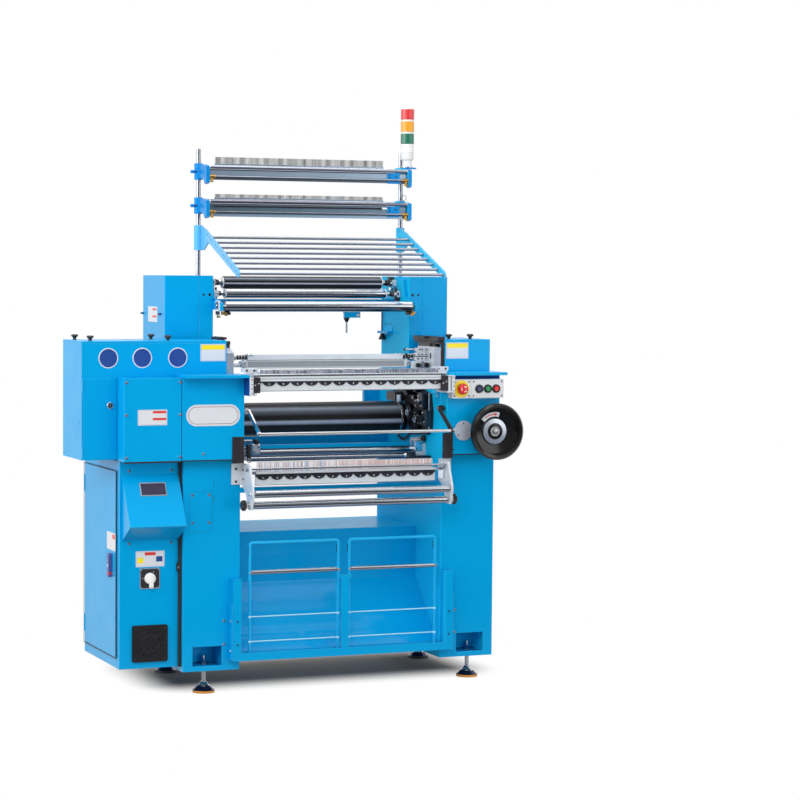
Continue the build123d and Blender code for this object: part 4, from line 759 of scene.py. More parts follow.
# handles and locks of the two doors
lock = Piece("gear_box_lock")
lockPlace, gripPlace = (-970, 1167), (133, 524)
lock.ring(zinc, "y", (33.2, 38.6), lockPlace, 8.5, 13.5, 40, 1)
lock.lathe(blackPlastic, "y", [(34.6, 8.4), (33.8, 8)], lockPlace, 32)
lock.block(zinc, (-970.8, -969.2), (33.3, 33.9), (1161.5, 1172.5), 0.2)
lock.done("gear_box_door")
doorGrip = Piece("cabinet_handle_detail")
doorGrip.lathe(zinc, "x", [(-951.3, 6.5), (-952.2, 6), (-952.2, 3)], gripPlace, 32)
doorGrip.prism(labelRed, "x", circle((gripPlace[0], 492), 4, 24), (-951.9, -951.3), 0.1)
doorGrip.done("cabinet_door_handle")

# control boxes: face plates, screws, collars and the emergency button's marks
boxLook = {"front": -90, "thickness": 2, "z": (1185, 1257), "plates": ((448, 527), (533.5, 675)), "screws": 7,
           "emergency": (487, 1221), "height": 1221}
buttons = {"jog_button": (565, bluePlastic), "run_button": (604, greenPlastic), "stop_button": (642, redPlastic)}
faces = Piece("control_faces")
face, margin = boxLook["front"] - boxLook["thickness"], boxLook["screws"]
for x in boxLook["plates"]:
    z = boxLook["z"]
    faces.prism(boxGrey, "y", stadium(x, z, 3), (face, boxLook["front"]), 0.5)
    faces.screws(darkSteel, "y", face, grid((x[0] + margin, x[1] - margin), (z[0] + margin, z[1] - margin)), 3.2, 2)
faces.lathe(estopYellow, "y", [(face, 35), (face - 1.2, 35), (face - 1.8, 34.4)], (485, boxLook["height"]), 64)
faces.ring(blackPlastic, "y", (face - 2.2, face), boxLook["emergency"], 7.6, 13.4, 40)
for buttonX, finish in buttons.values():
    faces.ring(blackPlastic, "y", (face - 7.5, face), (buttonX, boxLook["height"]), 12, 17, 48, 1.4)
    faces.ring(zinc, "y", (face - 0.8, face), (buttonX, boxLook["height"]), 12, 18.5, 48, 0.3)
faces.done()
marks = Piece("emergency_button_marks")
marks.lathe(redPlastic, "y", [(-99.5, 20), (-101, 22.4), (-105, 22.7), (-110.5, 21.2), (-114.6, 18.4), (-117.2, 13)],
            boxLook["emergency"], 64)
for turn in (30, 150, 270):
    marks.prism(white, "y", arcBand(boxLook["emergency"], 12.6, 9.4, turn, 8, 9), (-117.5, -116.9), 0.05)
marks.done("emergency_button")
for button, (buttonX, finish) in buttons.items():
    cap = Piece(button + "_cap")
    cap.lathe(finish, "y", [(-100.8, 9.4), (-101.6, 8.4), (-101.2, 6.4), (-100.9, 5)], (buttonX, boxLook["height"]), 40)
    cap.done(button)

# handwheel: bright ring, hub bolt and turning mark
wheelLook = {"place": (628, 1046), "hub": -116, "web": (-107, -114), "mark": (80, 61, 74, 5.5, 13),
             "arrow": (72, 68.5, 92, 5, 8), "tip": [(76.5, 92), (70, 80), (64, 92)]}
wheel = Piece("handwheel_trim")
wheelPlace, hub = wheelLook["place"], wheelLook["hub"]
wheel.lathe(aluminium, "y", [(hub - 1.6, 34), (hub + 0.4, 52), (hub + 2, 53.4), (hub + 9, 53.4), (hub + 9, 40),
                             (hub + 1, 33)], wheelPlace, 72, closed=True)
wheel.lathe(glossBlack, "y", [(hub + 0.5, 33), (hub - 1.8, 31), (hub - 2.4, 24), (hub - 2.4, 15), (hub - 1, 12)],
            wheelPlace, 64)
wheel.ring(zinc, "y", (hub - 3, hub - 2), wheelPlace, 14, 20, 48, 0.3)
wheel.lathe(zinc, "y", [(hub, 12), (hub - 4.4, 11), (hub - 5.2, 9)], wheelPlace, 32)
wheel.nut(zinc, "y", (hub - 7.6, hub - 4), wheelPlace, 6.5)
markSpan = (wheelLook["web"][1] - 0.6, wheelLook["web"][0] - 2)
markFace = (markSpan[0] - 0.3, markSpan[0])
wheel.prism(labelWhite, "y", arcBand(wheelPlace, *wheelLook["mark"]), markSpan, 0.2)
wheel.prism(labelRed, "y", arcBand(wheelPlace, *wheelLook["arrow"]), markFace, 0.05)
wheel.prism(labelRed, "y", [polar(wheelPlace, radius, turn) for radius, turn in wheelLook["tip"]], markFace, 0.05)
wheel.done("handwheel")
print("controls done")

# needle units
needleLook = {"half": 381, "pitch": 3.0, "width": 0.9}
lobePitch = 2 * needleLook["half"] / 12.7
lobeXs = [lobePitch * (lobe - 6) for lobe in range(13)]
unitTrim = Piece("unit_screws")
for front, height in ((-111, 1250.5), (-47, 871.5)):
    unitTrim.screws(zinc, "y", front, grid(lobeXs, (height,)), 4.2, 2.6)
unitTrim.screws(darkSteel, "y", -8, grid((-462, 462), (858, 909)), 5, 3)
for low, high in ((-429, -401), (384, 412)):  # black blocks that close the upper unit
    unitTrim.block(blackMetal, (low, high), (-121.5, -107), (1217, 1277), 1)
    for finish, places in ((zinc, ((low + 7, 1247), (high - 7, 1253))),
                           (darkSteel, ((low + 7, 1228), (high - 7, 1234), (low + 7, 1266), (high - 6, 1270)))):
        unitTrim.screws(finish, "y", -121.5, places, 3.2, 2)
for side in sides:
    # dark blue plates inside the upper unit's ends: painted shadow
    unitTrim.blocks([(paintedShadowBlue, (436, 443.5), (-112, -6), (1204.5, 1275.5), 0.8),
                     (paleSteel, (429.5, 444), (-121, -112), (1206, 1278), 1.5)], side)
    for finish, heights in ((copper, (1234, 1270)), (zinc, (1216, 1252))):
        unitTrim.screws(finish, "y", -121, grid((side * 437,), heights), 3, 2)
for inner, outer in ((-451, -493), (430, 466)):
    unitTrim.screws(castIron, "y", -56, grid((inner,), (948, 966, 984, 1002, 1020, 1034)), 2.6, 1.6)
    for line in range(5):
        x = inner + (outer - inner) * (0.25 + 0.15 * line)
        unitTrim.block(blackMetal, (x - 0.6, x + 0.6), (-57, -56), (938, 1037), 0.2)
unitTrim.screws(blackPlastic, "y", -50, grid((-433, -401, 401, 433), (1303,)), 4.4, 3)
unitTrim.tube(chrome, "x", (-404, 404), (-110, 1286.5), 4.2)
unitTrim.blocks([(paleSteel, (412, 432), (-122, -100), (1275, 1279), 0.5),
                 (paleSteel, (408, 432), (-122, -100), (1209, 1214), 0.5),
                 (paleSteel, (-401, 384), (-113.4, -111), (1260.5, 1281), 0.6),
                 (combDark, (-401, 384), (-113.7, -113.4), (1271, 1272.6), 0.05),
                 (combDark, (-401, 384), (-113.7, -113.4), (1260.6, 1262.4), 0.05),
                 (darkSteel, (-404, 404), (-112.2, -111), (1281, 1283), 0.2),
                 (paleSteel, (-392, 392), (-49.4, -47), (889, 898.5), 0.6),
                 (combDark, (-404, 404), (-107.6, -106.9), (1222, 1224), 0.1),
                 (combDark, (-392, 392), (-43.6, -42.9), (843, 845), 0.1)])
unitTrim.done()

guides = Piece("thread_guides")  # small guide blocks behind the upper needles
guides.block(paleSteel, (-440, 440), (-52, -40), (1276, 1296), 0.8)
for step in range(74):
    x = -378 + step * 10.3
    shade = draw.choice((brightSteel, needleSteel, blueSteel, channelAluminium, channelAluminium))
    top = 1303 + draw.uniform(-3, 4)
    guides.block(shade, (x, x + 8.4), (-66, -52), (1277, top), 0.8)
    guides.screw(blackPlastic if step % 3 else zinc, "y", -66, (x + 4.2, 1290 + draw.uniform(-3, 3)), 1.9, 1.2)
for side in sides:
    guides.block(paleSteel, (side * 384, side * 446), (-50, -14), (1296, 1311), 1)
guides.done()


def needleRow(piece, y, base, top, finish, tall=0.0):
    half, count = needleLook["width"] / 2, int(2 * needleLook["half"] / needleLook["pitch"])
    for step in range(count):
        x = -needleLook["half"] + needleLook["pitch"] * (step + 0.5)
        reach = top + draw.uniform(-tall, 0)
        piece.block(finish, (x - half, x + half), (y - 1.1, y + 1.1), (base, reach), 0.15)
        piece.block(finish, (x - half, x + half), (y - 3.6, y - 1.1), (reach - 1.6, reach), 0.15)


needles = Piece("upper_needles")
needles.block(paleSteel, (-389, 389), (-98, -80), (1275.3, 1281.3), 0.6)
needles.block(needleSteel, (-385, 385), (-97, -90), (1281, 1286), 0.4)
for step in range(192):
    shade = draw.choice((combPale, combPale, combBlue, combPale, combDark, needleSteel))
    needles.block(shade, (-384 + 4 * step, -380 + 4 * step), (-90.5, -88.5), (1281, 1300 + draw.uniform(0, 6)), 0.2)
needleRow(needles, -93, 1281, 1308, needleSteel)
needles.screws(darkSteel, "z", 1281.3, grid(range(-368, 369, 32), (-84,)), 2.4, 1.6, way=1)
needles.done("needle_bar", hides=("needle_bar",))

beds = Piece("needle_beds_and_comb")
beds.block(brightSteel, (-404, 404), (-100, -45), (1262, 1275), 0.8)
beds.block(brightSteel, (-427, 427), (-36, -8), (886, 898), 0.8)
beds.block(needleSteel, (-385, 385), (-33, -26), (897, 907), 0.6)
needleRow(beds, -29.5, 905, 937, needleSteel, tall=2.0)
for step in range(384):  # rosier towards the right
    shade = draw.choice((combPale, combRose) + ((combPale, combBlue) if step < 170 else (combRose, combRose)))
    beds.block(shade, (-384 + 2 * step, -382 + 2 * step), (-34.6, -33.6), (899, 934), 0.2)
beds.done(hides=("needle_beds",))

# yarn reeds of the creel, pin by pin
reedLook = {"rows": {2143: 30, 2002: 17}, "half": 381, "pitch": 2.54, "pin": 0.62, "y": 499}  # top and pin height
reeds = Piece("creel_reeds")
for top, rise in reedLook["rows"].items():
    reeds.block(brightSteel, (-440, 440), (494, 504), (top - 16, top - 4), 0.8)
    reeds.block(blueSteel, (-383, 383), (496, 502), (top - 4.2, top + 2), 0.6)
    for step in range(int(2 * reedLook["half"] / reedLook["pitch"])):
        x = -reedLook["half"] + reedLook["pitch"] * (step + 0.5)
        half = reedLook["pin"] + 0.22 * math.sin(step * 0.37) * math.sin(step * 0.083 + 1)
        # runs of pins in dark steel among the lighter pins: painted shade along the reed
        dark = 0.34 + 0.26 * math.sin(step * 0.29) + 0.12 * math.sin(step * 0.05)
        shade = darkSteel if draw.random() < dark else pinSteel
        reeds.block(shade, (x - half, x + half), (reedLook["y"] - 0.8, reedLook["y"] + 0.8),
                    (top - 4, top + rise + draw.uniform(-1, 0.4)), 0.2)
    reeds.screws(zinc, "y", 494, grid(range(-374, 375, 68), (top - 10,)), 2.6, 1.4)
reeds.done(hides=("yarn_reeds",))
print("needles and reeds done")

# creel fittings
fittings = Piece("creel_fittings")
for side in sides:
    for top in reedLook["rows"]:
        rodPlace = (creelLook["rod"][0], top - creelLook["rows"][top][0])
        rodY, rodZ = rodPlace
        fittings.tube(brass, "x", (side * 428, side * 445), rodPlace, 7.6)
        fittings.nut(brass, "x", (side * 420, side * 428), rodPlace, 6.8)
        fittings.tube(brass, "z", (rodZ - 18, rodZ - 6), (side * 436, rodY), 5.6)
        fittings.tube(brass, "z", (rodZ - 24, rodZ - 18), (side * 436, rodY), 8, 16)
        fittings.nut(zinc, "x", (side * 440, side * 446.2), (386, top - 18), 9)
        fittings.screws(zinc, "y", 467, grid((side * 458,), (top - 12, top - 56)), 3.6, 3)
        if side > 0:
            fittings.block(clampPaint, (352, 410), (383.6, 387.8), (top - 72, top - 26), 1.5)
            fittings.screws(darkSteel, "y", 383.6, ((362, top - 33), (362, top - 46), (392, top - 40)), 3.4, 2.4)
        for x in (442, 474):
            fittings.tube(darkBlue, "y", (470, 476), (side * x, top - 34), 5)
    fittings.lathe(chromeUpright, "z", [(2202.6, 9.4), (2203, 8)], (side * 458, 485), 32)
blackRod = {"x": (-426, 322), "place": (369, 1965), "radius": 3.2, "tip": 22}
fittings.tube(glossBlack, "x", blackRod["x"], blackRod["place"], blackRod["radius"])
fittings.tube(white, "x", (blackRod["x"][1], blackRod["x"][1] + blackRod["tip"]), blackRod["place"],
              blackRod["radius"] + 1)
for x in (-420, -50, 316):
    fittings.block(darkSteel, (x - 3, x + 3), (369, 388.4), (1961, 1964), 0.8)
fittings.ring(glossBlack, "y", (429, 431), (449, 2013.5), 10.6, 12.4, 40, 0.5)
fittings.done()

# signal tower with ribbed lenses
towerLook = {"place": (467, 438), "base": 2143, "foot": 100.5, "lens": 44.5, "gap": 7.5, "radius": 28.6,
             "ribs": (30, 0.35), "cap": 1.6}
towerLamps = Piece("signal_tower_lamps")
tower, base = towerLook["place"], towerLook["base"]
low = base + towerLook["foot"]
towerLamps.lathe(white, "z", [(base, 20), (base + 3, 20.5), (base + 30, 20.5), (base + 34, 27), (base + 36, 28),
                              (low - 2, 28), (low, 27)], tower, 64)
for rise in (62, 88):
    towerLamps.ring(labelGrey, "z", (base + rise, base + rise + 1), tower, 27.5, 28.3, 64, 0.1)
towerLamps.ring(zinc, "z", (base, base + 4), tower, 20, 26, 48, 0.6)
for finish in (lensGreen, lensAmber, lensRed):
    high = low + towerLook["lens"]
    layers = ((low, 1), (low + 1, 0), (high - 2, 0), (high - 1, 1.2))
    towerLamps.stack(finish, "z", [(z, circle(tower, towerLook["radius"] - less, 120, *towerLook["ribs"]))
                                   for z, less in layers])
    cap = towerLook["cap" if finish is lensRed else "gap"]
    towerLamps.lathe(white, "z", [(high - 1.2, 26), (high, 27), (high + cap - 0.8, 27), (high + cap, 26)], tower, 64)
    low = high + towerLook["gap"]
towerLamps.done(hides=("signal_tower",))

# feed rollers: collars, housings and end discs
feedLook = {"rubber": (465, 1650), "chromed": (423, 1604), "front": (269, 1552)}
housings = Piece("feed_housings")
for side in sides:
    for place, half in ((feedLook["rubber"], 15), (feedLook["chromed"], 13)):
        y, z = place
        housings.block(darkSteel, (side * 392, side * 408), (y - half, y + half), (z - half, z + half), 2)
        for corner in sides:
            housings.screw(zinc, "y", y - half, (side * 400, z + corner * (half - 5)), 3, 2.4)
        housings.tube(brightSteel, "y", (y - half - 14, y - half), (side * 400, z), 5)
    y, z = feedLook["front"]
    housings.block(brass, (side * 419, side * 428), (y - 12, y + 12), (z - 34, z - 19), 1.5)
    housings.tube(brass, "y", (y - 19, y - 12), (side * 423, z - 27), 5.5)
    housings.nut(darkSteel, "y", (y - 20.5, y - 16), (side * 402, z - 28), 7)
    housings.block(castIron, (side * 396, side * 419), (y - 12, y + 14), (z - 34, z - 22), 1.5)
for side in sides:  # bolted blocks beside and behind the journals
    housings.blocks([(paleSteel, (410, 426), (404, 412), (1590, 1618), 1),
                     (blackMetal, (402, 410), (406, 414), (1578, 1630), 1),
                     (paleSteel, (408, 426), (444, 452), (1638, 1664), 1),
                     (blackMetal, (404, 424), (470, 494), (1662, 1676), 1.5),
                     (brightSteel, (398, 418), (452, 468), (1618, 1632), 1.5),
                     (blackMetal, (412, 424), (408, 436), (1574, 1590), 1.5)], side)
    housings.screw(blackPlastic, "y", 452, (side * 408, 1625), 4, 2.4)
    housings.prism(brass, "y", circle((side * 414, 1520), 7, 6), (250, 262), 1)
    housings.lathe(brass, "x", [(side * 420, 7), (side * 432, 5), (side * 444, 2.4)], feedLook["front"], 24)
housings.blocks([(paleSteel, (-444, -440), (256, 304), (1536, 1576), 1),  # outer face of the left bracket
                 (blackMetal, (-445, -440), (258, 300), (1518, 1533), 1),
                 (brass, (-446, -440), (252, 282), (1506, 1516), 1),
                 (paleSteel, (-426, -398), (394, 400), (1590, 1618), 1),
                 (paleSteel, (-426, -400), (434, 441), (1636, 1664), 1),
                 (combDark, (-426, -398), (393.6, 394), (1601, 1604), 0.1)])
housings.ring(darkSteel, "x", (-446, -444), (282, 1556), 9, 14, 32, 0.3)
housings.screw(zinc, "x", -444, (282, 1556), 6, 4)
housings.screws(darkSteel, "x", -440, ((312, 1562), (312, 1544), (330, 1580), (296, 1588)), 4, 3)
housings.ring(darkSteel, "y", (432.6, 434), (-412, 1650), 6, 9, 32, 0.3)
housings.done()
rollerEnds = {"rubber_feed_roller": ("rubber", 356, 15, chrome), "chrome_feed_roller": ("chromed", 359, 12, chrome),
              "front_feed_roller": ("front", 417, 12, brass)}
for body, (key, half, radius, finish) in rollerEnds.items():
    ends = Piece(body + "_ends")
    place = feedLook[key]
    for side in sides:
        if key == "front":
            ends.ring(zinc, "x", (side * 417.2, side * 420), place, 8.2, 16.5, 40, 0.6)
            ends.ring(copper, "x", (side * 414, side * 417), place, 21.6, 22.3, 48, 0.3)
            continue
        ends.lathe(finish, "x", [(side * (half + 0.5), radius), (side * (half + 9), radius),
                                 (side * (half + 11), radius - 3), (side * (half + 20), radius - 4)], place, 32)
        ends.nut(darkSteel, "x", (side * (half + 22), side * (half + 30)), place, radius - 1)
        ends.ring(white, "x", (side * (half + 1), side * (half + 5)), place, radius - 2, radius + 9, 48, 1)
        ends.tube(chrome, "x", (side * 410, side * 427), place, 10.5)
    if key == "chromed":
        ends.lathe(blackPlastic, "x", [(411, 18), (413, 20), (418, 20), (420, 18)], place, 48)
        ends.ring(redPlastic, "x", (420, 421), place, 12, 15, 40, 0.3)
    ends.done(body)

# yarn hook under the feed beam, and the ledge with its cone on the right post
hook = Piece("hook_end")
hook.block(bluePaint, (207, 280), (494, 512), (1501, 1523), 2)
hook.block(zinc, (262, 276), (492, 494.4), (1506, 1519), 0.8)
hook.lathe(blackPlastic, "z", [(1501, 12), (1497, 13), (1493, 11), (1484, 6), (1482, 4)], (219, 503), 32)
hook.done()
ledge = Piece("post_ledge")
ledge.block(bluePaint, (414, 440.5), (516, 628), (1431, 1442), 1.5)
ledge.block(bluePaint, (437, 440.5), (516, 628), (1442, 1462), 1)
ledge.lathe(blackPlastic, "z", [(1431, 6), (1426, 9), (1422, 10), (1408, 17), (1404, 15)], (427, 600), 32)
ledge.tube(darkBlue, "z", (1442, 1534), (434, 622), 3)
ledge.screws(blackPlastic, "x", 440, grid((592, 565, 537), (1474,)), 3.2, 1.6)
ledge.done()
print("creel, tower and feed done")

# take-down roller ends, gear hubs and cast supports
rollerPlace = (375, 1079)
ends = Piece("take_down_roller_rims")
for side in sides:
    ends.ring(darkSteel, "x", (side * 402, side * 408.6), rollerPlace, 58, 72.6, 96, 1.4)
    ends.ring(brightSteel, "x", (side * 394, side * 398), rollerPlace, 69, 71.3, 96, 0.4)
ends.done("take_down_roller")


gearLook = {"module": 3.0, "screwCircle": 0.31, "middle": (24, 165.5), "input": (30, 195.8)}
place, teeth = rollerPlace, 40
for name in ("middle", "input"):
    nextTeeth, turn = gearLook[name]
    place = polar(place, gearLook["module"] / 2 * (teeth + nextTeeth), turn)
    teeth, body = nextTeeth, name + "_gear"
    hub = Piece(body + "_hub")
    hub.ring(brightSteel, "x", (406, 409.2), place, 9.6, 16, 32, 0.6)
    bolts = [polar(place, teeth * gearLook["module"] * gearLook["screwCircle"], turn) for turn in range(0, 360, 72)]
    hub.screws(zinc, "x", 412, bolts, 3, 1.4)
    hub.done(body)

support = Piece("drive_support")  # castings, shafts and screws between the gears and the right frame
backPlate = [(88, 1036), (112, 1022), (300, 1010), (360, 1150), (484, 1150), (484, 1192), (300, 1198), (150, 1204),
             (96, 1192), (80, 1120)]
support.prism(blackMetal, "x", backPlate, (428.5, 439.8), 2)
support.blocks([(castIron, (432, 439.8), (170, 330), (1190, 1262), 3),
                (darkSteel, (404, 440), (188, 222), (1196, 1252), 3),
                (darkSteel, (398, 426), (104, 156), (1122, 1196), 4),
                (castIron, (400, 428), (76, 116), (1058, 1126), 3),
                (blackMetal, (392, 428), (372, 470), (1150, 1188), 3),
                (blueSteel, (396, 404), (330, 372), (1146, 1176), 3),
                (darkSteel, (360, 404), (146, 176), (1216, 1250), 3)])
for finish, x, place, radius, count in (
        (darkSteel, (392, 440), (262, 1206), 26, 36), (castIron, (386, 396), (262, 1206), 19, 36),
        (chrome, (372, 386), (262, 1206), 7, 24), (chrome, (388, 398), (130, 1160), 11, 24),
        (darkSteel, (384, 400), (96, 1090), 13, 24)):
    support.tube(finish, "x", x, place, radius, count)
support.tube(zinc, "z", (1040, 1196), (424, 92), 4)
for inner, outer in ((84, 87), (99, 104)):  # bright rims of the guard behind the roller's end
    support.prism(paleSteel, "x", arcBand(rollerPlace, outer, inner, -40, 5, 25), (427, 432.5), 0.4)
support.ring(darkSteel, "x", (428.6, 430), rollerPlace, 88, 99, 120, 0.3)
support.blocks([(chromeUpright, (436.5, 439.6), (128, 140), (1068, 1184), 1),
                (redPlastic, (437, 439.4), (140, 143), (1060, 1182), 0.4)])
for place in ((238, 1136), (224, 1130), (228, 1122), (136, 1134), (206, 1052), (214, 1046), (112, 1182), (162, 1150),
              (182, 1176), (142, 1088), (122, 1110), (100, 1146), (176, 1098)):
    size = draw.uniform(3, 6)
    support.screw(draw.choice((zinc, brightSteel, chrome)), "x", 427, place, size, 4)
for place in ((180, 1166), (208, 1158), (154, 1066), (196, 1074), (236, 1170), (118, 1066)):
    support.tube(darkSteel, "x", (414, 430), place, draw.uniform(8, 13), 28, 1)
    support.tube(zinc, "x", (411, 414), place, draw.uniform(3, 5), 20, 0.5)
for base, places, radius, height in ((398, ((200, 1212), (200, 1240), (116, 1140), (144, 1180)), 4.2, 3.6),
                                     (400, ((88, 1076), (104, 1112)), 4.2, 3.6),
                                     (432, ((300, 1240), (300, 1206), (196, 1240)), 5, 4)):
    support.screws(zinc, "x", base, places, radius, height)
support.tube(brightSteel, "x", (352, 360), (161, 1232), 9)
for x, z in ((428, 1206), (434, 1190)):
    support.block(armPaint, (x - 5, x + 5), (26, 60), (z - 9, z + 7), 2)
    support.screw(zinc, "y", 26, (x, z), 3, 2)
support.done()

# press blocks with ball knobs, rod clamps, rods and black rollers
press = Piece("press_fittings")
for blockX, knobX in ((-318, -318), (404, 426)):
    press.block(channelAluminium, (blockX - 18, blockX + 18), (150, 186), (952, 994), 3)
    press.tube(zinc, "z", (985, 994), (knobX + 2, 168), 5)
    press.lathe(blackPlastic, "z", [(992, 6), (994, 9.5), (998, 11.6), (1003, 12), (1008, 11.6), (1012, 9.5),
                                    (1014.5, 5)], (knobX + 2, 158), 32)
    press.screws(darkSteel, "y", 150, ((blockX - 9, 962), (blockX + 9, 982)), 3.4, 2.4)
pressRods = [((-440, -372), (128, height), 3.4) for height in (952, 966, 980)]
for x, place, radius in [((-440, -335), (168, 975), 6), ((-440, -330), (172, 1006), 5),
                         ((-356, 330), (120, 938), 5)] + pressRods:
    press.tube(chrome, "x", x, place, radius)
press.lathe(aluminium, "x", [(324, 5), (330, 8.5), (334, 8.5), (336, 6)], (120, 938), 32)
press.tube(rollerRubber, "x", (-352, 388), (218, 946), 23, 48)
press.tube(rollerRubber, "x", (-340, 372), (150, 930), 7)
press.blocks([(castIron, (336, 372), (104, 136), (924, 952), 3), (blackMetal, (-371, -356), (108, 132), (928, 996), 3),
              (darkSteel, (372, 438), (96, 150), (900, 934), 3)])
press.ring(zinc, "y", (106, 108), (-364, 930), 5, 9, 32, 0.5)
press.nut(zinc, "x", (-378, -372), (120, 938), 10)
press.done()

# drive heads: rod clamps, knobs, pads and face plates
heads = Piece("drive_head_fittings")
heads.block(aluminium, (-486, -455), (43, 46.4), (1284, 1372), 1)
heads.screws(zinc, "y", 43, grid((-464,), (1292, 1364)), 3.4, 2.6)
for knobX in (-461, 470):
    heads.lathe(blackPlastic, "z", [(1374, 7), (1380, 10), (1384, 7.5), (1388, 10), (1392, 7.5), (1396, 10),
                                    (1400, 7.5), (1404, 11), (1412, 11), (1416, 8)], (knobX, 100), 28)
for z in (1300, 1322):
    heads.tube(blackPlastic, "y", (150, 172), (-441, z), 9.5, 28, 1.4)
heads.blocks([(paleSteel, (453.4, 455.4), (110, 196), (1290, 1386), 0.6),  # right head: face plates and black strip
              (plateGrey, (453.8, 455.4), (48, 107), (1290, 1386), 0.6),
              (darkSteel, (438.6, 440.4), (60, 120), (1407, 1410), 0.5),
              (rubber, (455, 471.2), (43, 46.2), (1277, 1404), 0.5),
              (blackMetal, (452, 474), (48, 310), (1400.4, 1411), 1),
              (blackMetal, (440, 472), (44, 300), (1413, 1430.6), 2),
              (blackMetal, (448, 470.5), (140, 152), (1388, 1402), 2)])
heads.prism(darkSteel, "x", stadium((140, 152), (1336, 1362), 5.5), (453, 453.6), 0.1)
heads.screws(zinc, "x", 453.6, ((60, 1300), (60, 1378), (178, 1374)), 3.2, 1.6)
for level, z in enumerate((1336, 1354, 1374)):  # three clamps with their rods
    heads.block(paleSteel, (394 + 4 * level, 452), (168, 196), (z - 6.5, z + 6.5), 1.2)
    heads.tube(chrome, "x", (370 - 10 * level, 396), (182, z), 4)
    heads.tube(blackPlastic, "x", (366 - 10 * level, 372 - 10 * level), (182, z), 5)
    heads.screws(darkSteel, "y", 168, grid((406 + 4 * level, 424, 442), (z,)), 3.4, 2.4)
heads.block(paleSteel, (372, 452), (150, 168), (1293, 1327), 1.2)
for x, radius in ((396, 9.5), (436, 11)):
    heads.tube(blackPlastic, "y", (140, 152), (x, 1310), radius, 32, 1.4)
    heads.ring(darkSteel, "y", (138.6, 140.4), (x, 1310), 3, 6, 24, 0.3)
heads.tube(chrome, "z", (1296, 1326), (416, 145), 8, 28)
heads.block(zinc, (410, 422), (140, 150), (1304, 1312), 1)
heads.screws(castIron, "z", 1430, grid((436, 458, 480), (164, 248)) + grid((-462,), (164, 206, 248)), 3.4, 1.8, way=1)
heads.done()

slideClamps = Piece("weft_bar_clamps")
clampPlace = (197, 1345.8)
for side in sides:
    slideClamps.tube(darkSteel, "x", (side * 346, side * 392), clampPlace, 9)
    slideClamps.tube(zinc, "x", (side * 392, side * 402), clampPlace, 11.5)
    for x in (356, 368, 380):
        slideClamps.ring(zinc, "x", (side * x, side * (x + 3)), clampPlace, 8.8, 10.4, 32, 0.4)
    slideClamps.block(channelAluminium, (side * 318, side * 350), (182, 212), (1351, 1357.4), 1)
    slideClamps.screws(darkSteel, "z", 1357.4, grid((side * 326, side * 342), (197,)), 3.4, 2.2, way=1)
slideClamps.done("weft_bar")

channel = Piece("weft_channel_face")  # raised border round a sunk panel
border = rectangle((-352, 352), (1301.5, 1333.5))
channel.band(paleSteel, "y", (177.6, 181), border, inset(border, 4.5))
channel.blocks([(labelGrey, (-347.5, 347.5), (180, 181), (1306, 1329), 0.2),
                (darkSteel, (-352, 352), (180.2, 181.8), (1333.2, 1335.4), 0.2)])
channelEnd = ((352, 1334), (372, 1330), (378, 1318), (366, 1304), (352, 1301.5))
for side in sides:
    channel.prism(aluminium, "y", [(side * x, z) for x, z in channelEnd], (176, 214), 1)
    channel.screw(zinc, "y", 176, (side * 363, 1322), 3.6, 2.4)
channel.done()

guardEnds = Piece("guard_bar_fittings")
for side in sides:
    guardEnds.tube(chrome, "x", (side * 419, side * 427), (-153, 1056), 8)
    guardEnds.tube(blackPlastic if side > 0 else zinc, "x", (side * 419.2, side * 434), (-25, 1140), 12, 32, 1)
    guardEnds.nut(zinc, "x", (side * 408, side * 412), (-25, 1140), 8)
for share in (0.32, 0.66):  # thin dark discs on the left arm, in place of slots: painted shade
    y, z = -25 - 128 * share, 1140 - 84 * share
    guardEnds.tube(darkSteel, "x", (-411.6, -412.2), (y, z), 5, 20)
    guardEnds.tube(darkSteel, "x", (-419, -419.4), (y, z), 5, 20)
guardEnds.done("guard_bar")

# holders of the fabric rollers: pads, screws and clamp nuts
holders = Piece("holder_fittings")
webLook = {"outer": 435, "inner": 427}
for side in sides:
    web = side * webLook["outer"]
    holders.nut(zinc, "x", (web, web + side * 7), (-113, 815), 9)
    holders.screws(darkSteel, "x", web, ((-20, 905), (-20, 868), (-62, 905)), 4.4, 3, way=side)
    holders.tube(chrome, "x", (web, web + side * 4), (-76, 912), 8)
    holders.block(channelAluminium, (side * webLook["inner"], side * (webLook["inner"] - 5)), (-60, -10), (852, 922), 1)
    holders.screw(darkSteel, "y", -60, (side * 424, 900), 2.6, 2)
holders.done()

knobLook = {"place": (-88, 770), "x": (450, 465.5), "star": (19.4, 98, 7, 2.6)}  # radius, sides, lobes and their depth
knobs = Piece("holder_star_knobs")
star = circle(knobLook["place"], *knobLook["star"])
for side in sides:
    low, high = [side * x for x in knobLook["x"]]
    knobs.prism(blackPlastic, "x", star, (low, high), 1.8)
    stem = [(side * x, radius) for x, radius in ((434, 11), (440, 11), (442, 8), (450, 8))]
    knobs.lathe(zinc, "x", stem, knobLook["place"], 32)
knobs.done()

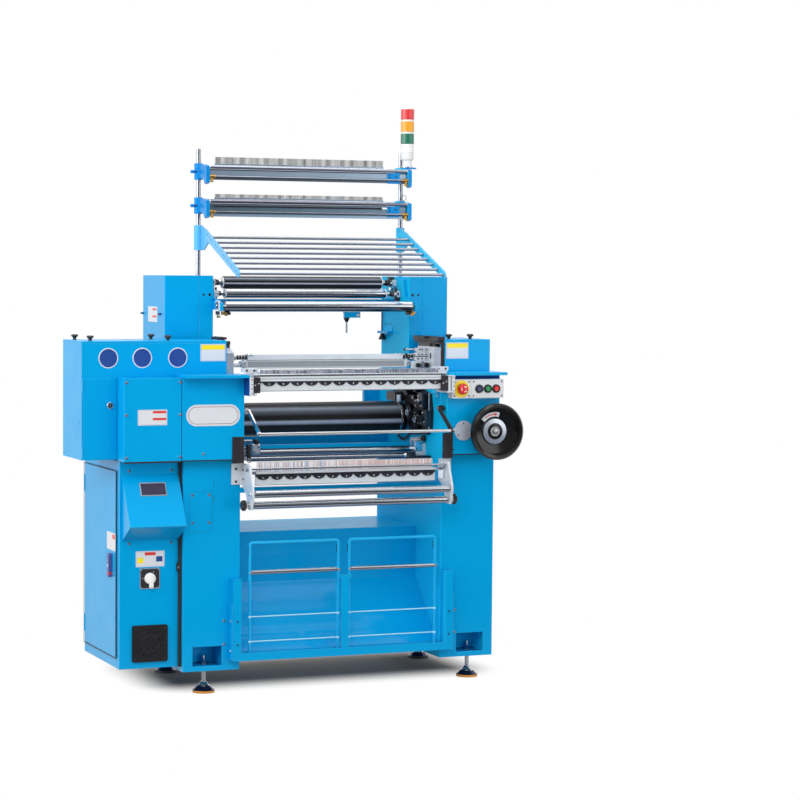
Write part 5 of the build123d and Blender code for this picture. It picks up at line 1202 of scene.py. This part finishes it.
# guard frame joints and clamps, and the studs of the feet
joints = Piece("tube_frame_fittings")
for side in sides:
    for x in (24, 405):
        joints.tube(zinc, "y", (-34, -26), (side * x, 492), 5)
        joints.nut(zinc, "y", (-36, -32), (side * x, 492), 6)
        joints.block(blackPlastic, (side * x - 5, side * x + 5), (-15, -8), (560, 592), 1.5)
        joints.tube(bluePaint, "z", (144, 150), (side * x, -20), 9)
    joints.screws(blackPlastic, "y", -40, grid((side * 463,), (300, 206)), 4, 2.6)
joints.block(bluePaint, (-30, 30), (-38, -35), (455, 470), 1)
joints.done()
studs = Piece("foot_studs")  # thread, nuts and collar of each levelling foot
footLook = {"places": grid((-558, 612), (100, 602)), "thread": 38, "pitch": 3.2, "turns": 15}
for place in footLook["places"]:
    for turn in range(footLook["turns"]):
        low = footLook["thread"] + footLook["pitch"] * turn
        studs.lathe(zinc, "z", [(low, 8.2), (low + 1.2, 9.2), (low + 2.4, 8.2)], place, 20)
    studs.nut(chrome, "z", (86, 101.6), place, 16.5)
    studs.lathe(chrome, "z", [(33, 19), (38, 15), (43, 12.5), (47, 11.5)], place, 36)
    studs.nut(chrome, "z", (116.4, 129), place, 15)
    studs.ring(zinc, "z", (114.6, 116.4), place, 8.4, 19, 32, 0.3)
    studs.ring(darkSteel, "z", (9.4, 11), place, 38, 44, 48, 0.4)
studs.done()
print("small fittings done")

# electrical gear inside the cabinet
gear = Piece("cabinet_gear")
gear.block(ductGrey, (-698, -692), (80, 500), (180, 890), 1)
for z in (230, 420, 610, 800):
    gear.block(ductGrey, (-730, -698), (90, 490), (z - 14, z + 14), 2)
    for step in range(24):
        gear.block(blackPlastic, (-730.6, -729.8), (98 + 16 * step, 101 + 16 * step), (z - 12, z + 12), 0.1)
gear.blocks([(blackPlastic, (-800, -698), (110, 240), (270, 396), 4),
             (labelGrey, (-801, -800), (130, 220), (350, 384), 0.4)])
for step in range(6):
    gear.block(white, (-772, -698), (262 + 38 * step, 296 + 38 * step), (460, 545), 2)
    gear.block(blackPlastic, (-778, -772), (268 + 38 * step, 290 + 38 * step), (480, 525), 1)
for step in range(9):
    gear.block(ductGrey, (-750, -698), (110 + 18 * step, 126 + 18 * step), (650, 740), 1)
    gear.block(labelRed if step % 3 == 0 else labelWhite, (-752, -750), (112 + 18 * step, 124 + 18 * step),
               (690, 712), 0.3)
gear.block(darkSteel, (-790, -698), (320, 470), (650, 770), 3)
gear.done()

# terminal box of the motor in the gear box
drive = Piece("motor_fittings")
drive.block(motorPaint, (-930, -860), (140, 220), (1118, 1150), 4)
drive.tube(blackPlastic, "x", (-945, -930), (180, 1134), 9)
drive.screws(zinc, "z", 1150, grid((-918, -872), (150, 210)), 4, 3, way=1)
drive.done()

# floor, backdrop tone and lights; the floor is dark warm grey only in a patch round the machine, shaped like its
# shadow, and white beyond: painted shadow, warmed against the blue light bounced off the machine
floorLook = {"size": 30, "tone": (0.36, 0.33, 0.305, 1), "stain": (0.33, 0.305, 0.28, 1), "middle": (0.18, 0.25),
             "plain": (0.60, 0.17), "soft": (0.24, 0.30), "gloom": (0.10, 0.13, 0.19, 1), "front": (-0.7, -2.2)}
floorMesh = bpy.data.meshes.new("floor")
half = floorLook["size"]
floorMesh.from_pydata([(-half, -half, 0), (half, -half, 0), (half, half, 0), (-half, half, 0)], [], [(0, 1, 2, 3)])
floor = bpy.data.objects.new("floor", floorMesh)
bpy.context.scene.collection.objects.link(floor)
pale = Finish("pale_floor")
cloud = pale.noise(0.8)
tone = pale.mix(cloud, floorLook["tone"], floorLook["stain"])
matt = pale.node("ShaderNodeBsdfDiffuse", {}, {"Color": tone})[0]
glow = pale.node("ShaderNodeEmission", {}, {"Color": (1, 1, 1, 1), "Strength": 1.0})[0]
seen, glossRay = pale.seen()
flat = pale.split(pale.coordinate())
gapX, gapY = [pale.maths("MAXIMUM", abs(flat[axis] - floorLook["middle"][axis]) - floorLook["plain"][axis], 0.0) /
              floorLook["soft"][axis] for axis in (0, 1)]
outsideShadowPatch = pale.smooth(pale.maths("SQRT", gapX * gapX + gapY * gapY), 0.0, 1.0)
gloom = pale.node("ShaderNodeEmission", {}, {"Color": floorLook["gloom"], "Strength": 1.0})[0]
ahead = pale.smooth(flat[1], *floorLook["front"])
glow = pale.node("ShaderNodeMixShader", {}, {0: ahead * glossRay, 1: glow, 2: gloom})[0]
floorMesh.materials.append(pale.show(pale.node("ShaderNodeMixShader", {}, {0: seen * outsideShadowPatch, 1: matt, 2: glow})[0]))

studio = {"ambient": 0.55, "frontDim": 0.8, "front": (-0.05, -0.45), "level": 0.1, "band": (0.5, 0.22)}
world = bpy.data.worlds.new("studio")
world.use_nodes = True
bpy.context.scene.world = world
sky = Finish("studio", world.node_tree)
seen, glossRay = sky.seen()
toward = sky.split(sky.node("ShaderNodeTexCoord")["Generated"])
ahead = sky.smooth(toward[1], *studio["front"])
level = sky.smooth(abs(toward[2] - studio["level"]), *studio["band"])
dimmed = 1 - ahead * level * glossRay * studio["frontDim"]  # gloss meets a dim room in front
lit, shown = [sky.node("ShaderNodeBackground", {}, {"Color": (1, 1, 1, 1), "Strength": strength})[0]
              for strength in (studio["ambient"], dimmed)]
blended = sky.node("ShaderNodeMixShader", {}, {0: seen, 1: lit, 2: shown})[0]
sky.node("ShaderNodeOutputWorld", {}, {"Surface": blended})

lamps = {"key": ((-2600, -4200, 4300), 3.0, 116), "fill": ((3600, -3800, 2300), 3.0, 52),
         "side": ((-4600, -500, 2400), 3.2, 124), "top": ((0, 300, 5200), 3.4, 70), "low": ((400, -3600, 300), 2.2, 38)}
for name, (place, size, power) in lamps.items():
    light = bpy.data.lights.new(name, "AREA")
    light.shape, light.size, light.energy = "SQUARE", size, power
    lamp = bpy.data.objects.new(name, light)
    lamp.location = spot(*place)
    lamp.rotation_euler = (spot(-100, 150, 1100) - lamp.location).to_track_quat("-Z", "Y").to_euler()
    lamp.visible_glossy = name != "low"
    bpy.context.scene.collection.objects.link(lamp)
print("stage and lights done")
